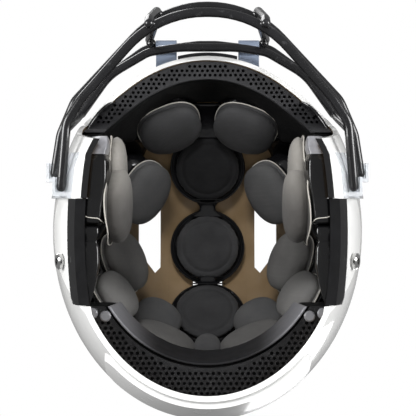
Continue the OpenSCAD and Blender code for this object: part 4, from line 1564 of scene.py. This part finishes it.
@dataclass(frozen=True)
class FaceGuard:
    """The welded wire guard, as smooth round wires with a bead where two of them meet."""

    wire_d: float = 7.0
    bend: float = 22.0
    front_bend: float = 76.0
    chin_z: float = 19.0
    mouth_z: float = 70.0
    hinge_z: float = 150.0
    eye_z: float = 134.0
    hinge_y: float = -136.324
    guard_y: float = -139.824
    guard_x: float = 112.0
    bow: float = 2.0
    upright_x: float = 48.0
    clip_x: float = 34.0
    clip_w: float = 17.0
    gap: float = 1.2
    step: float = 5.0

    def rounded(self, corners: list[Vector], bends: list[float]) -> list[Vector]:
        """A line with its corners rounded.

        Args:
            corners: The corners.
            bends: A bend radius for each.

        Returns:
            Points of the line.
        """
        line = [corners[0]]
        for before, here, after, radius in zip(corners, corners[1:], corners[2:], bends[1:]):
            back, on = (before - here).normalized(), (after - here).normalized()
            opening = back.angle(on)
            middle = here + (back + on).normalized() * radius / math.sin(opening / 2)
            start, stop = ((here + w * radius / math.tan(opening / 2) - middle).normalized() for w in (back, on))
            side = start.cross(stop).normalized().cross(start)
            arc = math.pi - opening
            steps = max(2, math.ceil(math.degrees(arc) / self.step))
            for a in (k * arc / steps for k in range(steps + 1)):
                line.append(middle + (start * math.cos(a) + side * math.sin(a)) * radius)
        return [*line, corners[-1]]

    def both(self, half: list[Point], bends: list[float]) -> list[Vector]:
        """A route from its right half, which starts at the middle, and a bend for each point."""
        right = [Vector(p) for p in half]
        return self.rounded([*reversed(on_side(right, -1)), *right], [*reversed(bends), *bends])

    def routes(self) -> dict[str, list[Vector]]:
        """The wires' lines, which repeat the source's.

        Returns:
            The points of each line, by the wire's node.
        """
        y, x, hinge, bend = self.guard_y, self.guard_x, self.hinge_y, self.bend
        chin, mouth, brow, eye = self.chin_z, self.mouth_z, self.hinge_z, self.eye_z
        rod, flat = self.clip_x - self.clip_w / 2 - 1, self.clip_x + self.clip_w / 2 + 7
        chin_end = (FORM.wall_x(-19, chin) + self.gap + self.wire_d / 2 + 1, -19.0, chin)
        mouth_end = (FORM.side_x(-30, mouth) + self.gap + self.wire_d / 2, -30.0, mouth)
        across = self.upright_x
        upright = [
            Vector((across - 6, y + 3.3, chin - 6)),
            Vector((across - 6, y - 1, chin + 3)),
            Vector((across - 9.5, y - 14.3, mouth)),
            Vector((across - 6, y - 10, mouth + 38)),
            Vector((across, hinge - self.wire_d + 0.5, brow)),
        ]
        bars = {
            "chin_bar": (
                [(36, y - 5.5, chin), (x - 21, y + 57, chin), (x - 10, y + 74, chin), chin_end],
                [self.front_bend, bend, bend, bend],
            ),
            "mouth_bar": (
                [(34, y - 18, mouth), (x - 11, y + 54, mouth), (x, y + 80, mouth), mouth_end],
                [self.front_bend, bend, bend, bend],
            ),
            "brow_bar": (
                [
                    (rod / 3, hinge - self.bow, brow),
                    (rod, hinge, brow),
                    (flat, hinge, brow),
                    (x - 30, y + 27, brow),
                    (x - 8, y + 62, brow - 22),
                    (x, y + 79, mouth + self.wire_d - 1),
                ],
                [2 * bend, bend, bend, 2 * bend, bend, bend],
            ),
            "eye_bar": (
                [
                    (24, hinge + 2, eye),
                    (flat - 1, hinge + 6, eye),
                    (x - 32, y + 28, eye),
                    (x - 10, y + 60, brow - 21),
                ],
                [self.front_bend, bend, 2 * bend, bend],
            ),
        }
        right = self.rounded(upright, [bend / 2, bend / 2, bend, 2 * bend, bend])
        lines = {node: self.both(*route) for node, route in bars.items()}
        return {**lines, "upright_right": right, "upright_left": on_side(right, -1)}

    @staticmethod
    def meeting(one: list[Vector], two: list[Vector]) -> tuple[Vector, Vector]:
        """The nearest pair of points of two lines, with finer points between theirs.

        Args:
            one: The first line.
            two: The second line.

        Returns:
            A point of each.
        """

        def dense(line: list[Vector]) -> list[Vector]:
            """The line's points and seven between each two."""
            return [a.lerp(b, k / 8) for a, b in zip(line, line[1:]) for k in range(8)]

        return min(((p, q) for p in dense(one) for q in dense(two)), key=lambda pair: (pair[0] - pair[1]).length)

    def bead(self, name: str, one: Vector, two: Vector) -> Piece:
        """A weld bead between two wires, as a coated lump a little wider than their contact.

        Args:
            name: Name of the piece.
            one: Point of the first wire's line.
            two: Point of the second wire's line.

        Returns:
            The piece.
        """
        bm = bmesh.new()
        bmesh.ops.create_icosphere(bm, subdivisions=3, radius=self.wire_d * 0.46)
        bmesh.ops.scale(bm, vec=(1.25, 1.25, 1.0), verts=bm.verts)
        for vertex in bm.verts:
            vertex.co *= 1 + 0.05 * math.sin(vertex.co.x * 2.1 + 1) * math.cos(vertex.co.y * 1.9)
        way = two - one if (two - one).length > 0.1 else Vector((0, 0, 1))
        bmesh.ops.transform(bm, matrix=facing((one + two) / 2, way), verts=bm.verts)
        return to_object(bm, name)

    def build(self) -> None:
        """Makes the wires and their beads."""
        routes = self.routes()
        for node, line in routes.items():
            settle(sweep(node + "_wire", line, self.wire_d / 2), "face_guard", Look.WIRE, nodes=(node,))
        for _, side in SIDES:
            for bar in ("chin_bar", "mouth_bar", "brow_bar"):
                spot = self.meeting(routes["upright_" + side], routes[bar])
                settle(self.bead(f"bead_{bar}_{side}", *spot), "face_guard", Look.WIRE)


@dataclass(frozen=True)
class RigidNodes:
    """The solids whose shape is right, each with its own finish."""

    looks: tuple[tuple[Look, tuple[str, ...]], ...] = (
        (Look.SHELL, ("shell",)),
        (Look.FRONT_BUMPER, ("front_bumper",)),
        (Look.REAR_BUMPER, ("rear_bumper",)),
        (Look.TRIM, ("edge_trim_left", "edge_trim_right")),
        (Look.BROW_FACING, ("brow_pad_facing",)),
        (Look.NECK_FACING, ("neck_pad_facing",)),
        (Look.SNAP, ("pad_snaps",)),
        (Look.CLIP, ("top_clip_left", "top_clip_right")),
        (Look.CLIP_CLEAR, ("side_clip_left", "side_clip_right")),
        (Look.SCREW, ("top_clip_screws", "side_clip_screws")),
        (Look.NUT, ("clip_nuts",)),
        (Look.STUD, ("strap_studs",)),
    )

    def build(self, nodes: dict[str, Piece]) -> None:
        """Puts the finishes on the solids.

        Args:
            nodes: The frame's nodes.
        """
        for look, names in self.looks:
            for name in names:
                mesh = nodes[name].data
                mesh.materials.clear()
                mesh.materials.append(material_of(look))
                LOG.info("solid %s: %s", name, look.value.title)


@dataclass(frozen=True)
class Studio:
    """The photograph's view from straight below, soft light and a pale floor.

    Lamps are given by name, place and side in metres, power in watts, and whether glossy
    surfaces show them.
    """

    camera_z: float = -0.9
    camera_y: float = -0.0038
    lens: float = 110.0
    shift_x: float = 0.0012
    target: Point = (0.0, 0.0, 0.12)
    ambient: float = 0.16
    mirrored: float = 0.1
    floor_half: float = 20.0
    floor_glow: float = 0.32
    lamps: tuple[tuple[str, Point, float, float, bool], ...] = (
        ("key_below_front", (-0.12, -0.78, -1.12), 0.3, 14.0, False),
        ("fill_at_camera", (0.0, 0.1, -1.35), 0.4, 4.5, False),
        ("soft_left", (-1.3, -0.3, -0.55), 0.8, 23.0, True),
        ("soft_right", (1.3, -0.3, -0.55), 0.8, 23.0, True),
        ("soft_above_front", (-0.8, -1.3, 1.5), 1.2, 15.0, True),
        ("soft_above_rear", (0.9, 1.2, 1.4), 1.0, 11.0, True),
    )

    def camera(self) -> None:
        """Sets the camera below the helmet, looking up, with its front at the top."""
        data = bpy.data.cameras.new("view_from_below")
        data.lens, data.sensor_width, data.shift_x = self.lens, 36.0, self.shift_x
        data.clip_start, data.clip_end = 0.05, 20.0
        made = placed("view_from_below", data)
        made.location = (0.0, self.camera_y, self.camera_z)
        made.rotation_euler = (math.pi, 0.0, 0.0)
        bpy.context.scene.camera = made

    def world(self) -> None:
        """A white surround for the camera, a faint one for reflections, and a plain level of light."""
        made = bpy.data.worlds.new("surround")
        sky = Canvas.on(made)
        rays = {word: sky.add("LightPath", out=f"Is {word} Ray") for word in ("Camera", "Transmission", "Glossy")}
        seen = sky.add("Math", {0: rays["Camera"], 1: rays["Transmission"]}, operation="MAXIMUM")
        faint = sky.add("Math", {0: rays["Glossy"], 1: self.mirrored}, operation="MULTIPLY")
        either = sky.add("Math", {0: seen, 1: faint}, operation="MAXIMUM")
        level = sky.add("MapRange", {"Value": either, "To Min": self.ambient, "To Max": 1.0})
        sky.add("OutputWorld", {"Surface": sky.add("Background", {"Color": WHITE, "Strength": level})})
        bpy.context.scene.world = made

    def light(self) -> None:
        """Sets the square soft lamps, which look at the helmet."""
        for name, place, size, watts, mirrored in self.lamps:
            data = bpy.data.lights.new(name, "AREA")
            data.size, data.energy = size, watts
            made = placed(name, data)
            made.location = place
            made.visible_glossy = mirrored
            made.rotation_euler = (Vector(self.target) - Vector(place)).to_track_quat("-Z", "Y").to_euler()

    def floor(self) -> None:
        """A pale floor that the camera sees only from above, so the view from below stays white."""
        bm = bmesh.new()
        bmesh.ops.create_grid(bm, x_segments=2, y_segments=2, size=self.floor_half)
        made = to_object(bm, "floor", 1.0)
        made.visible_diffuse = made.visible_glossy = made.visible_transmission = made.visible_shadow = False
        paint = bpy.data.materials.new("pale_floor")
        chalk = Canvas.on(paint)
        patches = chalk.add("TexNoise", {"Vector": chalk.add("TexCoord", out="Object"), "Scale": 1.5})
        tone = chalk.add("MapRange", {"Value": patches, "To Min": 0.86, "To Max": 0.9})
        seen = chalk.add("LightPath", out="Is Camera Ray")
        shown = chalk.add("Math", {0: seen, 1: self.floor_glow}, operation="MULTIPLY")
        glow = chalk.add("Emission", {"Color": WHITE, "Strength": shown})
        lit = chalk.add("AddShader", {0: chalk.add("BsdfDiffuse", {"Color": tone}), 1: glow})
        back = chalk.add("NewGeometry", out="Backfacing")
        either = chalk.add("MixShader", {0: back, 1: lit, 2: chalk.add("BsdfTransparent")})
        chalk.add("OutputMaterial", {"Surface": either})
        made.data.materials.append(paint)

    def build(self) -> None:
        """Sets up camera, world, lamps and floor."""
        self.camera()
        self.world()
        self.light()
        self.floor()
        bpy.context.scene.view_settings.view_transform = "Standard"


def main() -> None:
    """Loads the frame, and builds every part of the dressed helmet."""
    logging.basicConfig(level=logging.INFO, format="%(message)s")
    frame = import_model()
    Studio().build()
    RigidNodes().build(frame["nodes"])
    for part in (FaceGuard(), PodLiner(), Backing(), CrownPods(), JawPads(), FoamPads()):
        part.build()
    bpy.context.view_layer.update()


if __name__ == "__main__":
    main()
